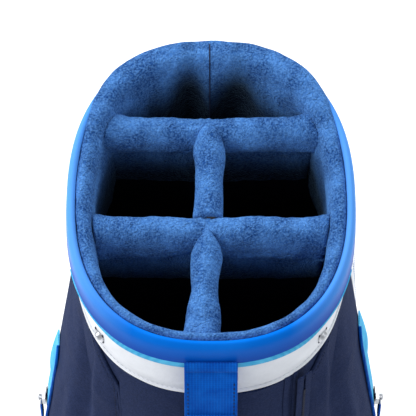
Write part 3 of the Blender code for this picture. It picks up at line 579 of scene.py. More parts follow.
def tube(name, points, radius, closed=False, sides=10):
    """A round cord along points."""
    rings = []
    count = len(points)
    side = None
    for i, point in enumerate(points):
        here = Vector(point)
        ahead = Vector(points[(i + 1) % count] if closed else points[min(i + 1, count - 1)])
        behind = Vector(points[(i - 1) % count] if closed else points[max(i - 1, 0)])
        along = (ahead - behind).normalized()
        if side is None:
            side = along.orthogonal().normalized()
        side = (side - along * side.dot(along)).normalized()
        up = along.cross(side)
        turns = [2 * math.pi * k / sides for k in range(sides)]
        rings.append([here + (side * math.cos(a) + up * math.sin(a)) * radius for a in turns])
    return loft(name, rings, closed)


def sweep(name, angles, profile, closed=True):
    """Carry a profile round the oval. profile(angle) gives the points of one section."""
    return loft(name, [profile(angle) for angle in angles], closed)


def dress(item, finish, replaces=(), body="bag"):
    """Give a piece its finish, and let it ride on a body in place of CAD nodes."""
    item.data.materials.clear()
    item.data.materials.append(FINISHES[finish])
    if replaces:
        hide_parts(*replaces)
    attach(item, body)
    return item


def stitches(name, path, outs, finish, body="bag", length=0.0030, gap=0.0016, radius=0.00045):
    """A row of short sewn stitches along a path, each a small lozenge lying on the cloth."""
    bm = bmesh.new()
    start = 0.0
    lengths = [0.0]
    for a, b in zip(path, path[1:]):
        lengths.append(lengths[-1] + (Vector(b) - Vector(a)).length)

    def at(distance, values):
        for i in range(len(lengths) - 1):
            if distance <= lengths[i + 1]:
                s = (distance - lengths[i]) / max(lengths[i + 1] - lengths[i], 1e-9)
                return Vector(values[i]).lerp(Vector(values[i + 1]), s)
        return Vector(values[-1])

    while start + length < lengths[-1]:
        first, last = at(start, path), at(start + length, path)
        out = at(start + length / 2, outs).normalized()
        along = (last - first).normalized()
        side = along.cross(out).normalized()
        ends = [bm.verts.new(first), bm.verts.new(last)]
        rings = []
        for share in (0.25, 0.75):
            centre = first.lerp(last, share) + out * radius * 0.4
            offsets = (side, out, -side, -out)
            rings.append([bm.verts.new(centre + offset * radius) for offset in offsets])
        for k in range(4):
            j = (k + 1) % 4
            bm.faces.new((rings[0][k], rings[0][j], rings[1][j], rings[1][k]))
            bm.faces.new((ends[0], rings[0][j], rings[0][k]))
            bm.faces.new((ends[1], rings[1][k], rings[1][j]))
        start += length + gap
    return dress(new_object(name, bm), finish, body=body)


def settled(item):
    """The mesh of a piece as its modifiers leave it."""
    graph = bpy.context.evaluated_depsgraph_get()
    return bpy.data.meshes.new_from_object(item.evaluated_get(graph))


def refine(item):
    """Subdivide a piece once, for good."""
    divide = item.modifiers.new("refine", "SUBSURF")
    divide.levels = 1
    divide.render_levels = 1
    finer = settled(item)
    item.modifiers.remove(divide)
    item.data = finer
    finer.shade_smooth()


def swell(item, pressure, cap, pinned):
    """Remesh a closed soft piece, let it swell as sewn cloth under pressure, and refine it.

    pinned(point) is 1 where the cloth is sewn down. No point moves further than cap.
    """
    remesh = item.modifiers.new("remesh", "REMESH")
    remesh.mode = "VOXEL"
    remesh.voxel_size = CLOTH_VOXEL
    fine = settled(item)
    item.modifiers.remove(remesh)
    item.data = fine
    group = item.vertex_groups.new(name="sewn")
    start = [vertex.co.copy() for vertex in fine.vertices]
    for i, point in enumerate(start):
        group.add([i], pinned(point), "REPLACE")
    cloth = item.modifiers.new("cloth", "CLOTH")
    cloth.settings.quality = 5
    cloth.settings.mass = 0.2
    cloth.settings.vertex_group_mass = "sewn"
    cloth.settings.use_pressure = True
    cloth.settings.uniform_pressure_force = pressure
    cloth.settings.effector_weights.gravity = 0.0
    cloth.point_cache.frame_start = 1
    cloth.point_cache.frame_end = CLOTH_FRAMES
    scene = bpy.context.scene
    for step in range(1, CLOTH_FRAMES + 1):
        scene.frame_set(step)
    swollen = settled(item)
    item.modifiers.remove(cloth)
    for vertex, first in zip(swollen.vertices, start):
        moved = vertex.co - first
        if moved.length > cap:
            vertex.co = first + moved * (cap / moved.length)
    item.data = swollen
    item.vertex_groups.clear()
    scene.frame_set(1)
    refine(item)


def shift(item, offset):
    """Move every vertex by offset(point)."""
    for vertex in item.data.vertices:
        vertex.co += offset(vertex.co)


# ------------------------------------------------------------------ the plush top
RING = [2 * math.pi * i / 240 for i in range(240)]
FOOT = BAR_DROP - 0.104


def at_oval(angle, inset, drop):
    """A point of the oval at a drop below the mouth's plane."""
    x, y = oval(angle, inset)
    return Vector((x, y, rim(drop, y)))


def make_band():
    """Smooth moulded band with a rolled top."""
    outer = rounded((
        (-0.0009, 0.0300), (-0.0004, 0.0160), (0.0, 0.0080), (0.0009, 0.0038),
        (0.0028, 0.0010), (0.0050, 0.0003), (0.0072, 0.0016), (BAND_THICKNESS, 0.0046),
    ), 4, False)
    section = [*outer, (BAND_THICKNESS, 0.0130), (0.0030, 0.0130), (0.0026, BAND_HEIGHT)]
    band = sweep("band", RING, lambda angle: [at_oval(angle, *point) for point in section])
    dress(band, "band_blue", replaces=["cuff_band"])


def rear_folds(x):
    """How far the lining's rear wall stands in, across the bag: gathered either side of its seam."""
    folds = 0.0055 * bump(x, -0.001, 0.007) - 0.0070 * bump(x, -0.020, 0.011)
    folds += 0.0035 * bump(x, -0.043, 0.011) - 0.0070 * bump(x, 0.025, 0.013)
    folds += 0.0035 * bump(x, 0.052, 0.014) - 0.0030 * bump(x, 0.078, 0.010)
    return folds + 0.0026 * smooth((-0.058 - x) / 0.004)


def lining_point(angle, inset, drop):
    """A point of the lining with its folds, its rear seam and its uneven pile."""
    point = at_oval(angle, inset, drop)
    deep = smooth((drop - 0.004) / 0.050)
    inward = 0.0
    if point.y > 0.0:
        behind = smooth(point.y / 0.05)
        inward += deep * behind * rear_folds(point.x)
    inward += deep * 0.0018 * wobble(point, 0.040, 2.0)
    inward += 0.0007 * wobble(point, 0.013, 5.0)
    lift = 0.0006 * wobble(point, 0.016, 8.0)
    return point - outward(angle) * inward + Vector((0.0, 0.0, lift))


def make_lining():
    """Plush lining that rolls over the rim inside the band and hangs down the mouth."""
    inner = rounded((
        (0.0200, LINING_DEPTH), (0.0243, 0.118), (0.0250, 0.084), (0.0248, 0.056), (0.0246, 0.034),
        (0.0238, 0.0165), (0.0212, 0.0062), (0.0165, 0.0012), (0.0118, 0.0010), (TUCK, 0.0040),
    ), 4, False)
    outer = ((TUCK, 0.0136), (0.0117, 0.0136), (0.0117, 0.0706), (0.0092, 0.0706), (0.0092, LINING_DEPTH))

    def skin(angle):
        """The lining's inner face: slim at the front, puffed over the band at the rear."""
        y = oval(angle)[1]
        slim = 1.0 - 0.36 * smooth((-0.035 - y) / 0.085)
        covered = smooth((y - 0.040) / 0.085)
        made = []
        for inset, drop in inner:
            puff = covered * smooth((0.022 - drop) / 0.016)
            inset = TUCK + (inset - TUCK) * slim
            inset -= puff * (0.0078 * smooth((0.0165 - inset) / 0.0075) + 0.0006)
            made.append(lining_point(angle, inset, drop - 0.0068 * puff))
        return made

    lining = sweep("lining", RING, lambda angle: skin(angle) + [at_oval(angle, *point) for point in outer])
    dress(lining, "plush_blue", replaces=["cuff_lining"])
    seam = skin(math.pi / 2 + 0.004)[6:-4]
    dress(tube("lining_seam", seam, 0.0006), "dark_thread")


def transverse_fold(x, fold):
    """Height of the sewn fold across a transverse divider: it rises to the junction and wavers."""
    return fold + 0.014 * bump(x, -0.012, 0.018) + 0.0022 * wobble((x, 0.0, 0.0), 0.035, fold * 90)


def make_transverse(name, bar_y, fold, dip):
    """Padded sleeve over a bar from side to side, with its hanging panel."""
    base = rim(BAR_DROP, bar_y)
    radius = 0.0122
    rings = []
    for t in spread(-1.0, 1.0, 61):
        flare = 1 + 0.16 * bump(abs(t), 1.0, 0.10)
        x_mid = t * wall_x(bar_y, 0.0225)
        lip = transverse_fold(x_mid, fold)
        outline = rounded((
            (0.0042, FOOT), (0.0046, -0.052), (0.0060, -0.027), (radius * 0.90, -0.0100),
            (radius, 0.0), (radius * 0.72, radius * 0.72), (0.0, radius), (-radius * 0.72, radius * 0.72),
            (-radius, 0.0), (-radius * 0.94, -0.0110), (-0.0096, -0.0200), (-0.0084, lip + 0.0030),
            (-0.0046, lip - 0.0020), (-0.0050, lip - 0.0130), (-0.0042, FOOT),
        ), 3)
        sag = -dip * bump(x_mid, -0.002, 0.045) + 0.0022 * smooth((abs(t) - 0.80) / 0.20)
        sag += 0.0012 * wobble((x_mid, bar_y, 0.0), 0.030, 3.0)
        ring = []
        for across, height in outline:
            grown = flare if height > lip else 1.0
            y = bar_y + across * grown
            x = t * wall_x(y, 0.0222)
            if t > 0.8 and height < lip:
                x -= 0.006 * smooth((t - 0.8) / 0.2)
            ring.append((x, y, base + RIM_SLOPE * across + height * grown + sag))
        rings.append(ring)
    sleeve = loft("divider_sleeve_" + name, rings)

    def local_height(point):
        return point.z - base - RIM_SLOPE * (point.y - bar_y)

    def pinned(point):
        if local_height(point) < transverse_fold(point.x, fold) + 0.001:
            return 1.0
        if abs(point.x) > wall_x(bar_y, 0.0225) - 0.005 or abs(point.x + 0.003) < 0.004:
            return 1.0
        return 0.0

    swell(sleeve, 3.0, 0.0034, pinned)

    def detail(point):
        height = local_height(point)
        lip = transverse_fold(point.x, fold)
        groove = 0.0022 * bump(height, lip - 0.001, 0.0017) if point.y < bar_y else 0.0
        rough = 0.0008 * wobble(point, 0.014, 4.0) + 0.0004 * wobble(point, 0.006, 9.0)
        away = math.hypot(point.x + 0.0036, point.y - bar_y)
        pinch = -0.0014 * bump(away, 0.0, 0.006) if height > 0 else 0.0
        turn = math.atan2(point.y - bar_y, point.x + 0.0036)
        pucker = 0.0007 * math.cos(9 * turn) * bump(away, 0.011, 0.006) if height > 0 else 0.0
        return Vector((0.0, groove + rough, pinch + pucker + rough))

    shift(sleeve, detail)
    dress(sleeve, "plush_blue", replaces=["divider_" + name])


def make_centre(name, widths, crowns, middles):
    """Padded sleeve along the centre, from tables of half width, crown height and middle against y."""
    first, last = widths[0][0], widths[-1][0]
    rings = []
    for y in spread(first, last, 49):
        wide, crown, middle = flow(widths, y), flow(crowns, y), flow(middles, y)
        slim = min(0.0052, wide)
        outline = rounded((
            (slim * 0.8, FOOT), (slim, -0.052), (min(0.0080, wide), -0.030), (wide * 0.94, -0.0125),
            (wide, -0.0010), (wide * 0.74, crown * 0.68), (0.0, crown), (-wide * 0.74, crown * 0.68),
            (-wide, -0.0010), (-wide * 0.94, -0.0125), (-min(0.0080, wide), -0.030), (-slim, -0.052),
            (-slim * 0.8, FOOT),
        ), 3)
        base = rim(BAR_DROP, y)
        rings.append([(middle + across, y, base + height) for across, height in outline])
    sleeve = loft("divider_sleeve_" + name, rings)

    def pinned(point):
        height = point.z - rim(BAR_DROP, point.y)
        return 1.0 if height < -0.030 or min(point.y - first, last - point.y) < 0.006 else 0.0

    swell(sleeve, 3.0, 0.0022, pinned)

    def detail(point):
        side = 1.0 if point.x > flow(middles, point.y) else -1.0
        height = point.z - rim(BAR_DROP, point.y)
        rough = 0.0009 * wobble(point, 0.017, 6.0) + 0.0004 * wobble(point, 0.006, 1.0)
        groove = -0.0016 * bump(height, -0.034, 0.0018)
        return Vector((side * (rough + groove), 0.0, 0.6 * rough))

    shift(sleeve, detail)
    dress(sleeve, "plush_blue", replaces=["divider_" + name])


def make_skirts():
    """Black nylon that carries each divider on below its plush."""
    half = 0.0022
    top, bottom = 0.100, LINING_DEPTH
    corners = ((-half, bottom), (half, bottom), (half, top), (-half, top))
    for name, bar_y in (("rear", REAR_BAR_Y), ("front", FRONT_BAR_Y)):
        rings = []
        for t in spread(-1.0, 1.0, 41):
            x = t * wall_x(bar_y, 0.0185)
            y = bar_y + 0.0008 * wobble((x, bar_y, 0.0), 0.030, 7.0)
            rings.append([(x, y + across, rim(drop, bar_y)) for across, drop in corners])
        dress(loft("divider_skirt_" + name, rings), "black_nylon")
    for name, start, end in (("centre_rear", -0.0225, 0.068), ("centre_front", -0.1255, -0.0285)):
        rings = []
        for y in spread(start, end, 31):
            x = 0.0008 * wobble((0.0, y, 0.0), 0.030, 7.0)
            rings.append([(x + across, y, rim(drop, y)) for across, drop in corners])
        dress(loft("divider_skirt_" + name, rings), "black_nylon")


def make_top():
    """Band, lining and the four padded dividers."""
    make_band()
    make_lining()
    make_transverse("rear", REAR_BAR_Y, -0.0270, 0.0035)
    make_transverse("front", FRONT_BAR_Y, -0.0380, 0.0010)
    make_centre(
        "centre_rear",
        ((-0.0150, 0.0145), (-0.0020, 0.0134), (0.0160, 0.0126), (0.0350, 0.0130), (0.0480, 0.0146),
         (0.0580, 0.0142), (0.0660, 0.0108), (0.0710, 0.0062), (0.0735, 0.0030)),
        ((-0.0150, 0.0120), (0.0160, 0.0126), (0.0480, 0.0136), (0.0660, 0.0146), (0.0735, 0.0126)),
        ((-0.0150, -0.0026), (0.0200, -0.0014), (0.0735, -0.0014)),
    )
    make_centre(
        "centre_front",
        ((-0.1285, 0.0180), (-0.1220, 0.0172), (-0.1020, 0.0152), (-0.0900, 0.0132), (-0.0770, 0.0118),
         (-0.0620, 0.0128), (-0.0480, 0.0146), (-0.0400, 0.0124), (-0.0340, 0.0085), (-0.0285, 0.0030)),
        ((-0.1285, 0.0096), (-0.1220, 0.0106), (-0.1020, 0.0124), (-0.0480, 0.0132), (-0.0340, 0.0140),
         (-0.0285, 0.0122)),
        ((-0.1285, -0.0088), (-0.1220, -0.0085), (-0.1020, -0.0072), (-0.0770, -0.0060), (-0.0480, -0.0040),
         (-0.0285, -0.0036)),
    )
    make_skirts()


# ------------------------------------------------------------------ trim under the band
def yoke_lower(degrees):
    """Drop of the yoke's lower edge, by degrees from the side towards the front."""
    return flow(YOKE_EDGE, degrees)


def yoke_degrees(angle):
    """Degrees from the side towards the front, for an oval angle on the front half."""
    return math.degrees(math.asin(min(1.0, max(0.0, -math.sin(angle)))))


def make_yoke():
    """White coated yoke with a turned hem, its stitching and the piping above it."""
    angles = [math.radians(a) for a in spread(-13.0, -167.0, 150)]

    def section(angle):
        lower = yoke_lower(yoke_degrees(angle))
        x, y = oval(angle)
        lower += 0.0007 * wobble((x, y, 0.0), 0.018, 3.0)
        tall = lower - BAND_HEIGHT
        points = [(YOKE_INSET, WRAP_TOP_DROP), (YOKE_INSET, BAND_HEIGHT)]
        for share in (0.25, 0.5, 0.75):
            swollen = 0.0007 * math.sin(math.pi * share) + 0.0005 * wobble((x, y, share), 0.030, 5.0)
            points.append((YOKE_INSET - swollen, BAND_HEIGHT + share * (tall - 0.006)))
        points += [
            (YOKE_INSET, max(BAND_HEIGHT, lower - 0.0068)), (YOKE_INSET + 0.0009, lower - 0.0058),
            (YOKE_INSET - 0.0011, lower - 0.0042), (YOKE_INSET - 0.0013, lower - 0.0014),
            (YOKE_INSET + 0.0005, lower), (YOKE_INSET + 0.0020, lower - 0.0006),
            (YOKE_INSET + 0.0020, WRAP_TOP_DROP),
        ]
        return [at_oval(angle, *point) for point in points]

    yoke = sweep("yoke_panel", angles, section, closed=False)
    dress(yoke, "white", replaces=["yoke"])
    path, outs = [], []
    for angle in (math.radians(a) for a in spread(-20.0, -160.0, 160)):
        path.append(at_oval(angle, YOKE_INSET - 0.0002, yoke_lower(yoke_degrees(angle)) - 0.0056))
        outs.append(outward(angle))
    stitches("yoke_stitching", path, outs, "white_thread")

    def piping(angle):
        full = 0.22 + 0.78 * smooth((yoke_degrees(angle) - 40.0) / 18.0)
        ring = []
        for turn in spread(0.0, 2 * math.pi * 13 / 14, 14):
            out, down = 0.0028 * math.cos(turn), 0.0054 * full * math.sin(turn)
            ring.append(at_oval(angle, 0.0011 - out, BAND_HEIGHT + 0.0050 * full + down))
        return ring

    beads = [math.radians(a) for a in spread(-19.0, -161.0, 140)]
    dress(sweep("band_piping", beads, piping, closed=False), "cyan", replaces=["cuff_piping"])


def lathe(name, profile, place, normal, sides=32):
    """A solid turned round a normal from (radius, height) points."""
    turn = Vector(normal).to_track_quat("Z", "Y").to_matrix().to_4x4()
    stand = Matrix.Translation(place) @ turn
    rings = []
    for radius, height in profile:
        turns = [2 * math.pi * k / sides for k in range(sides)]
        rings.append([stand @ Vector((radius * math.cos(a), radius * math.sin(a), height)) for a in turns])
    return loft(name, rings)


def make_snaps():
    """Domed chrome snaps, each held by prongs through four slits that are drawn as dark cords: painted
    shade inside the cuts.
    """
    for name, side in SIDES:
        angle = -math.radians(SNAP_DEGREES) if side > 0 else math.pi + math.radians(SNAP_DEGREES)
        normal = outward(angle)
        x, y = oval(angle, YOKE_INSET - 0.0006)
        place = Vector((x, y, rim(SNAP_DROP, y)))
        stud = lathe("snap_cap_" + name, (
            (0.0059, 0.0), (0.0060, 0.0006), (0.0055, 0.0012), (0.0047, 0.0010), (0.0043, 0.0014),
            (0.0041, 0.0026), (0.0032, 0.0036), (0.0017, 0.0040), (0.0007, 0.0038), (0.0002, 0.0038),
        ), place, normal)
        dress(stud, "chrome", replaces=["snap_stud_" + name])
        seat = lathe("snap_seat_" + name, (
            (0.0056, 0.0001), (0.0068, 0.0001), (0.0069, 0.0006), (0.0064, 0.0009), (0.0056, 0.0006),
        ), place, normal)
        dress(seat, "chrome")
        up = Vector((0.0, 0.0, 1.0))
        side_way = up.cross(normal).normalized()
        for k, turn in enumerate((40.0, 140.0, 220.0, 320.0)):
            a = math.radians(turn)
            middle = place + (side_way * math.cos(a) * 0.0068 + up * math.sin(a) * 0.0080) - normal * 0.0003
            line = [middle + up * 0.0022, middle, middle - up * 0.0022]
            # Painted shade: each slit is a dark cord standing in for the shade inside the cut.
            dress(tube(f"snap_slit_shade_{name}_{k}", line, 0.0009, sides=8), "dark_thread")


# ------------------------------------------------------------------ body and pockets
def make_body():
    """The navy tube of the body, eased by the cloth's own give, and black inside."""
    levels = spread(FLOOR_Z, 0.78, 44)

    def section(angle):
        outside, inside = [], []
        for height in (*levels, None):
            x, y = oval(angle, WRAP_INSET)
            z = rim(WRAP_TOP_DROP, y) if height is None else height
            ease = 0.0009 * wobble((x, y, z), 0.055, 1.0) + 0.0004 * wobble((x, y, z), 0.018, 3.0)
            ease *= smooth((z - FLOOR_Z) / 0.06)
            outside.append(Vector((x, y, z)) + outward(angle) * ease)
            x, y = oval(angle, WRAP_INSET + 0.0030)
            inside.append(Vector((x, y, rim(WRAP_TOP_DROP, y) if height is None else height)))
        return outside + inside[::-1]

    wrap = sweep("body_shell", RING, section)
    dress(wrap, "navy", replaces=["body_wrap"])
    wrap.data.materials.append(FINISHES["black_nylon"])
    for face in wrap.data.polygons:
        plan = Vector((face.center.x, face.center.y, 0.0))
        if face.normal.dot(plan) < 0.0:
            face.material_index = 1


def pocket_bulge(below):
    """How far a side pocket stands out at a depth below the rim's centre."""
    out = min(POCKET_BULGE, max(0.0, POCKET_FLARE * (below - POCKET_FLARE_START)))
    foot = POCKET_FOOT - below
    return out * (0.62 + 0.38 * smooth(foot / 0.045))


def pocket_width(angle, front):
    """Share of the bulge at an oval angle: it rises from the front seam and falls at the rear."""
    corner, shoulder = math.radians(-14.0), math.radians(5.0)
    if angle < corner:
        return math.sin((angle - front) / (corner - front) * math.pi / 2)
    return 1.0 if angle <= shoulder else smooth((POCKET_REAR - angle) / (POCKET_REAR - shoulder))


def pocket_place(side, x, y, below):
    """A point at a depth below the rim's centre, level lower down and sloped like the mouth above."""
    slope = RIM_SLOPE * (1 - smooth((below - 0.10) / 0.20))
    return Vector((side * x, y, RIM_Z - below + slope * y))


def pocket_point(side, share, below):
    """A point of a side pocket's skin. share runs from its front seam to its rear edge."""
    front = -math.radians(flow(POCKET_SEAM, below))
    angle = front + (POCKET_REAR - front) * share
    degrees = math.degrees(angle)
    x, y = oval(angle, PANEL_INSET)
    out = pocket_bulge(below) * pocket_width(angle, front)
    plain = 1.0 - bump(degrees, 3.0, 9.0)
    hang = smooth((below - 0.075) / 0.10)
    valley = -0.0100 * bump(degrees, -27.0 - 14.0 * below, 6.0) * hang
    valley += 0.0034 * bump(degrees, -38.0, 5.0) * hang
    valley -= 0.0030 * bump(degrees, -17.0 + 30.0 * (below - 0.3), 4.0) * smooth((below - 0.22) / 0.08)
    around = side * angle * RIM_HALF_WIDTH
    wrinkle = 0.0034 * wobble((around, below * 0.45, side), 0.030, 4.0) * hang
    wrinkle += 0.0007 * wobble((around, below, side), 0.014, 2.0)
    pucker = 0.0005 * math.sin(below * 2 * math.pi / 0.012) * bump(share, 0.0, 0.05)
    ends = smooth(share / 0.05) * smooth((1.0 - share) / 0.06)
    out += plain * ends * (valley + wrinkle) + pucker
    point = Vector((x, y, 0.0)) + outward(angle) * out
    return pocket_place(side, point.x, point.y, below)


def make_side_pocket(name, side):
    """Draped side pocket, with a navy welt on its front seam and stitching along both seams."""
    rings = []
    for below in [*spread(POCKET_TOP, 0.745, 84), 0.755, 0.765, POCKET_FOOT]:
        front = -math.radians(flow(POCKET_SEAM, below))
        ring = [pocket_point(side, share, below) for share in spread(0.0, 1.0, 56)]
        for angle in spread(POCKET_REAR, front, 14):
            ring.append(pocket_place(side, *oval(angle, POCKET_BACK_INSET), below))
        rings.append(ring)
    pocket = loft("pocket_shell_" + name, rings)
    dress(pocket, "navy", replaces=["side_pocket_" + name])
    welt = []
    for below in spread(POCKET_TOP, 0.750, 90):
        angle = -math.radians(flow(POCKET_SEAM, below) + 0.9)
        welt.append(pocket_place(side, *oval(angle, POCKET_BACK_INSET), below))
    dress(tube("pocket_welt_" + name, welt, 0.0022), "navy")
    for label, share in (("front", 0.022), ("rear", 0.965)):
        path = [pocket_point(side, share, below) for below in spread(0.060, 0.750, 150)]
        outs = [Vector((point.x, point.y - (0.08 if label == "front" else -0.08), 0.0)) for point in path]
        stitches(f"pocket_stitching_{name}_{label}", path, outs, "dark_thread")


def side_face_x(height):
    """Where the flat outer face of a side pocket lies, at the zip's line."""
    below = RIM_Z - height
    x, y = oval(0.0, PANEL_INSET)
    return x + pocket_bulge(below) * pocket_width(0.0, -math.radians(POCKET_SEAM[-1][1]))


def make_gusset(name, side):
    """Ribbed zip gusset with an arched top, and the blue piping along its front edge."""
    front_edge, rear_edge = -0.014, 0.024
    middle, half = (front_edge + rear_edge) / 2, (rear_edge - front_edge) / 2
    top = GUSSET_TOPS[name]
    rings, edge = [], []
    for height in [*spread(top, top - 0.034, 14), *spread(top - 0.045, 0.128, 40)]:
        share = min(1.0, 0.06 + (top - height) / 0.034)
        width = half * math.sqrt(share * (2 - share))
        x = side_face_x(height) + GUSSET_STAND
        ring = [(side * x, middle - width, height), (side * x, middle + width, height)]
        for across in spread(1.0, -1.0, 9):
            swollen = GUSSET_THICKNESS * (1.0 - 0.35 * abs(across) ** 6)
            swollen += 0.0046 * bump(height, top - 0.044, 0.030) * (1.0 - across * across)
            ring.append((side * (x + swollen), middle + width * across, height))
        rings.append(ring)
        edge.append((side * (x + GUSSET_THICKNESS), middle - width - 0.0024, height))
    dress(loft("gusset_" + name, rings), "cyan", replaces=["pocket_gusset_" + name])
    bead = tube("gusset_piping_" + name, rounded(edge, 2, False), 0.0017)
    dress(bead, "webbing_blue", replaces=["pocket_piping_" + name])


def front_bulge(height):
    """How far the front pocket stands out at a height."""
    return 0.0015 + 0.025 * smooth((0.735 - height) / 0.30)


def front_angle(share):
    """Oval angle at a share of the way across the front pocket, from the right to the left."""
    return -FRONT_POCKET_EDGE + (2 * FRONT_POCKET_EDGE - math.pi) * share


def front_point(share, height, top):
    """A point of the front pocket's skin."""
    angle = front_angle(share)
    bulge = front_bulge(height)
    if height < FRONT_POCKET_BOTTOM + 0.02:
        bulge *= 0.55 + 0.45 * smooth((height - FRONT_POCKET_BOTTOM) / 0.02)
    x, y = oval(angle, PANEL_INSET)
    flat = math.sin(math.pi * share) ** 1.3 if 0.0 < share < 1.0 else 0.0
    rough = 0.0013 * wobble((x, height * 0.6, 2.0), 0.034, 6.0)
    rough += 0.0005 * wobble((x, height, 0.0), 0.012, 1.0)
    point = Vector((x, y, 0.0)) + outward(angle) * (bulge * flat + rough * min(1.0, 4 * flat))
    return Vector((point.x, point.y, min(height, top)))


def make_front_pocket():
    """Front pocket panel below the yoke, between the side pockets' seams."""
    shares = spread(0.0, 1.0, 61)
    rings = []
    for level in spread(0.0, 1.0, 58):
        skin, back = [], []
        for share in shares:
            angle = front_angle(share)
            x, y = oval(angle, PANEL_INSET)
            top = rim(yoke_lower(yoke_degrees(angle)) + 0.0010, y)
            height = top + (FRONT_POCKET_BOTTOM - top) * level
            skin.append(front_point(share, height, top))
            x, y = oval(angle, POCKET_BACK_INSET)
            back.append((x, y, height))
        rings.append(skin + back[::-1])
    pocket = loft("front_panel", rings)
    dress(pocket, "navy", replaces=["front_pocket"])


def make_ball_pocket():
    """Boxy ball pocket low on the front, swollen by what it holds, with piped edges."""
    half_width, root = 0.078, -0.1235
    depth = root - BALL_POCKET_FACE
    shares = ((0.062, 0.72), (0.066, 0.84), (0.072, 0.93), (0.082, 0.985), (0.095, 1.0), (0.20, 1.0),
              (0.308, 1.0), (0.326, 0.97), (0.338, 0.90), (0.346, 0.80), (0.352, 0.66))
    back = [oval(a, POCKET_BACK_INSET) for a in spread(math.radians(-122.5), math.radians(-57.5), 13)]
    rings, edges = [], {"left": [], "right": []}
    for height in [*spread(0.062, 0.095, 12), *spread(0.105, 0.300, 26), *spread(0.308, 0.352, 14)]:
        share = interpolate(shares, height)
        skin = []
        for turn in spread(0.0, math.pi, 45):
            x = half_width * signed_power(math.cos(turn), 0.25)
            y = root - depth * share * math.sin(turn) ** 0.25
            flat = bump(height, BALL_ZIP_Z, 0.022)
            rough = 0.0016 * wobble((x, height, 0.0), 0.030, 3.0) * (1.0 - flat) * math.sin(turn)
            skin.append((x, y + rough, height))
        rings.append(skin + [(x, y, height) for x, y in back])
        if 0.075 < height < 0.340:
            for name, side in SIDES:
                edges[name].append((side * half_width * 0.955, root - depth * share * 0.962, height))
    pocket = loft("ball_pocket_shell", rings)
    dress(pocket, "navy", replaces=["ball_pocket"])
    for name, points in edges.items():
        dress(tube("ball_piping_" + name, points, 0.0016), "webbing_blue")


def make_spine():
    """Padded spine panel with sewn cross channels, piped down both edges."""
    root, edge, flat = 0.1365, 0.060, 0.052
    back = [oval(a, POCKET_BACK_INSET) for a in spread(math.radians(66.0), math.radians(114.0), 9)]
    channels = spread(0.13, 0.79, 7)
    rings = []
    for height in [*spread(0.070, 0.080, 5), *spread(0.084, 0.828, 150), *spread(0.832, 0.844, 5)]:
        share = smooth(min((height - 0.066) / 0.014, (0.850 - height) / 0.016))
        face = root + (SPINE_FACE_Y - root) * share
        dent = 0.0026 * max(bump(height, channel, 0.004) for channel in channels)
        skin = []
        for x in spread(-edge, edge, 33):
            rise = smooth((edge - abs(x)) / (edge - flat + 0.004))
            skin.append((x, root + (face - dent * rise - root) * rise, height))
        rings.append([(x, y, height) for x, y in back] + skin)
    panel = loft("spine_pad", rings)
    dress(panel, "navy", replaces=["spine_panel"])
    for name, side in SIDES:
        points = [(side * (edge - 0.0005), root + 0.0022, height) for height in spread(0.082, 0.830, 80)]
        dress(tube("spine_piping_" + name, points, 0.0016), "webbing_blue")
    for k, height in enumerate(channels):
        path = [(x, SPINE_FACE_Y - 0.0024, height) for x in spread(-flat + 0.004, flat - 0.004, 40)]
        outs = [(0.0, 1.0, 0.0)] * len(path)
        stitches(f"spine_stitching_{k}", path, outs, "dark_thread")


# ------------------------------------------------------------------ zippers
def zip_frame(point, normal, along):
    """Matrix of a zipper: local X across the tape, local Y out of it, local Z along it."""
    normal, along = Vector(normal), Vector(along)
    turn = Matrix((normal.cross(along), normal, along)).transposed().to_4x4()
    return Matrix.Translation(point) @ turn


def make_zip(title, stand, start, end, tape_end, finish):
    """Two woven tapes with a row of coil teeth between them."""
    for label, side in (("a", -1.0), ("b", 1.0)):
        section = ((0.0012, 0.0), (0.0080, 0.0), (0.0080, 0.0008), (0.0050, 0.0012), (0.0012, 0.0012))
        rings = []
        for z in spread(start, tape_end, 24):
            rings.append([stand @ Vector((side * x, y, z)) for x, y in section])
        tape = loft(f"{title}_tape_{label}", rings)
        dress(tape, finish, replaces=[title + "_zip_track"])
    bm = bmesh.new()
    pitch, half = 0.0021, 0.0007
    for k in range(int((end - start) / pitch)):
        side = 1.0 if k % 2 else -1.0
        low, high = (-0.0016, 0.0010) if side < 0 else (-0.0010, 0.0016)
        centre = start + pitch * (k + 0.5)
        corners = []
        for z in (centre - half, centre + half):
            for x, y in ((low, 0.0004), (high, 0.0004), (high * 0.9, 0.0019), (low * 0.9, 0.0019)):
                corners.append(bm.verts.new(stand @ Vector((x, y, z))))
        bm.faces.new(corners[:4])
        bm.faces.new(corners[4:])
        for i in range(4):
            j = (i + 1) % 4
            bm.faces.new((corners[i], corners[j], corners[4 + j], corners[4 + i]))
    teeth = new_object(title + "_teeth", bm)
    teeth.data.shade_flat()
    dress(teeth, "dark_thread")


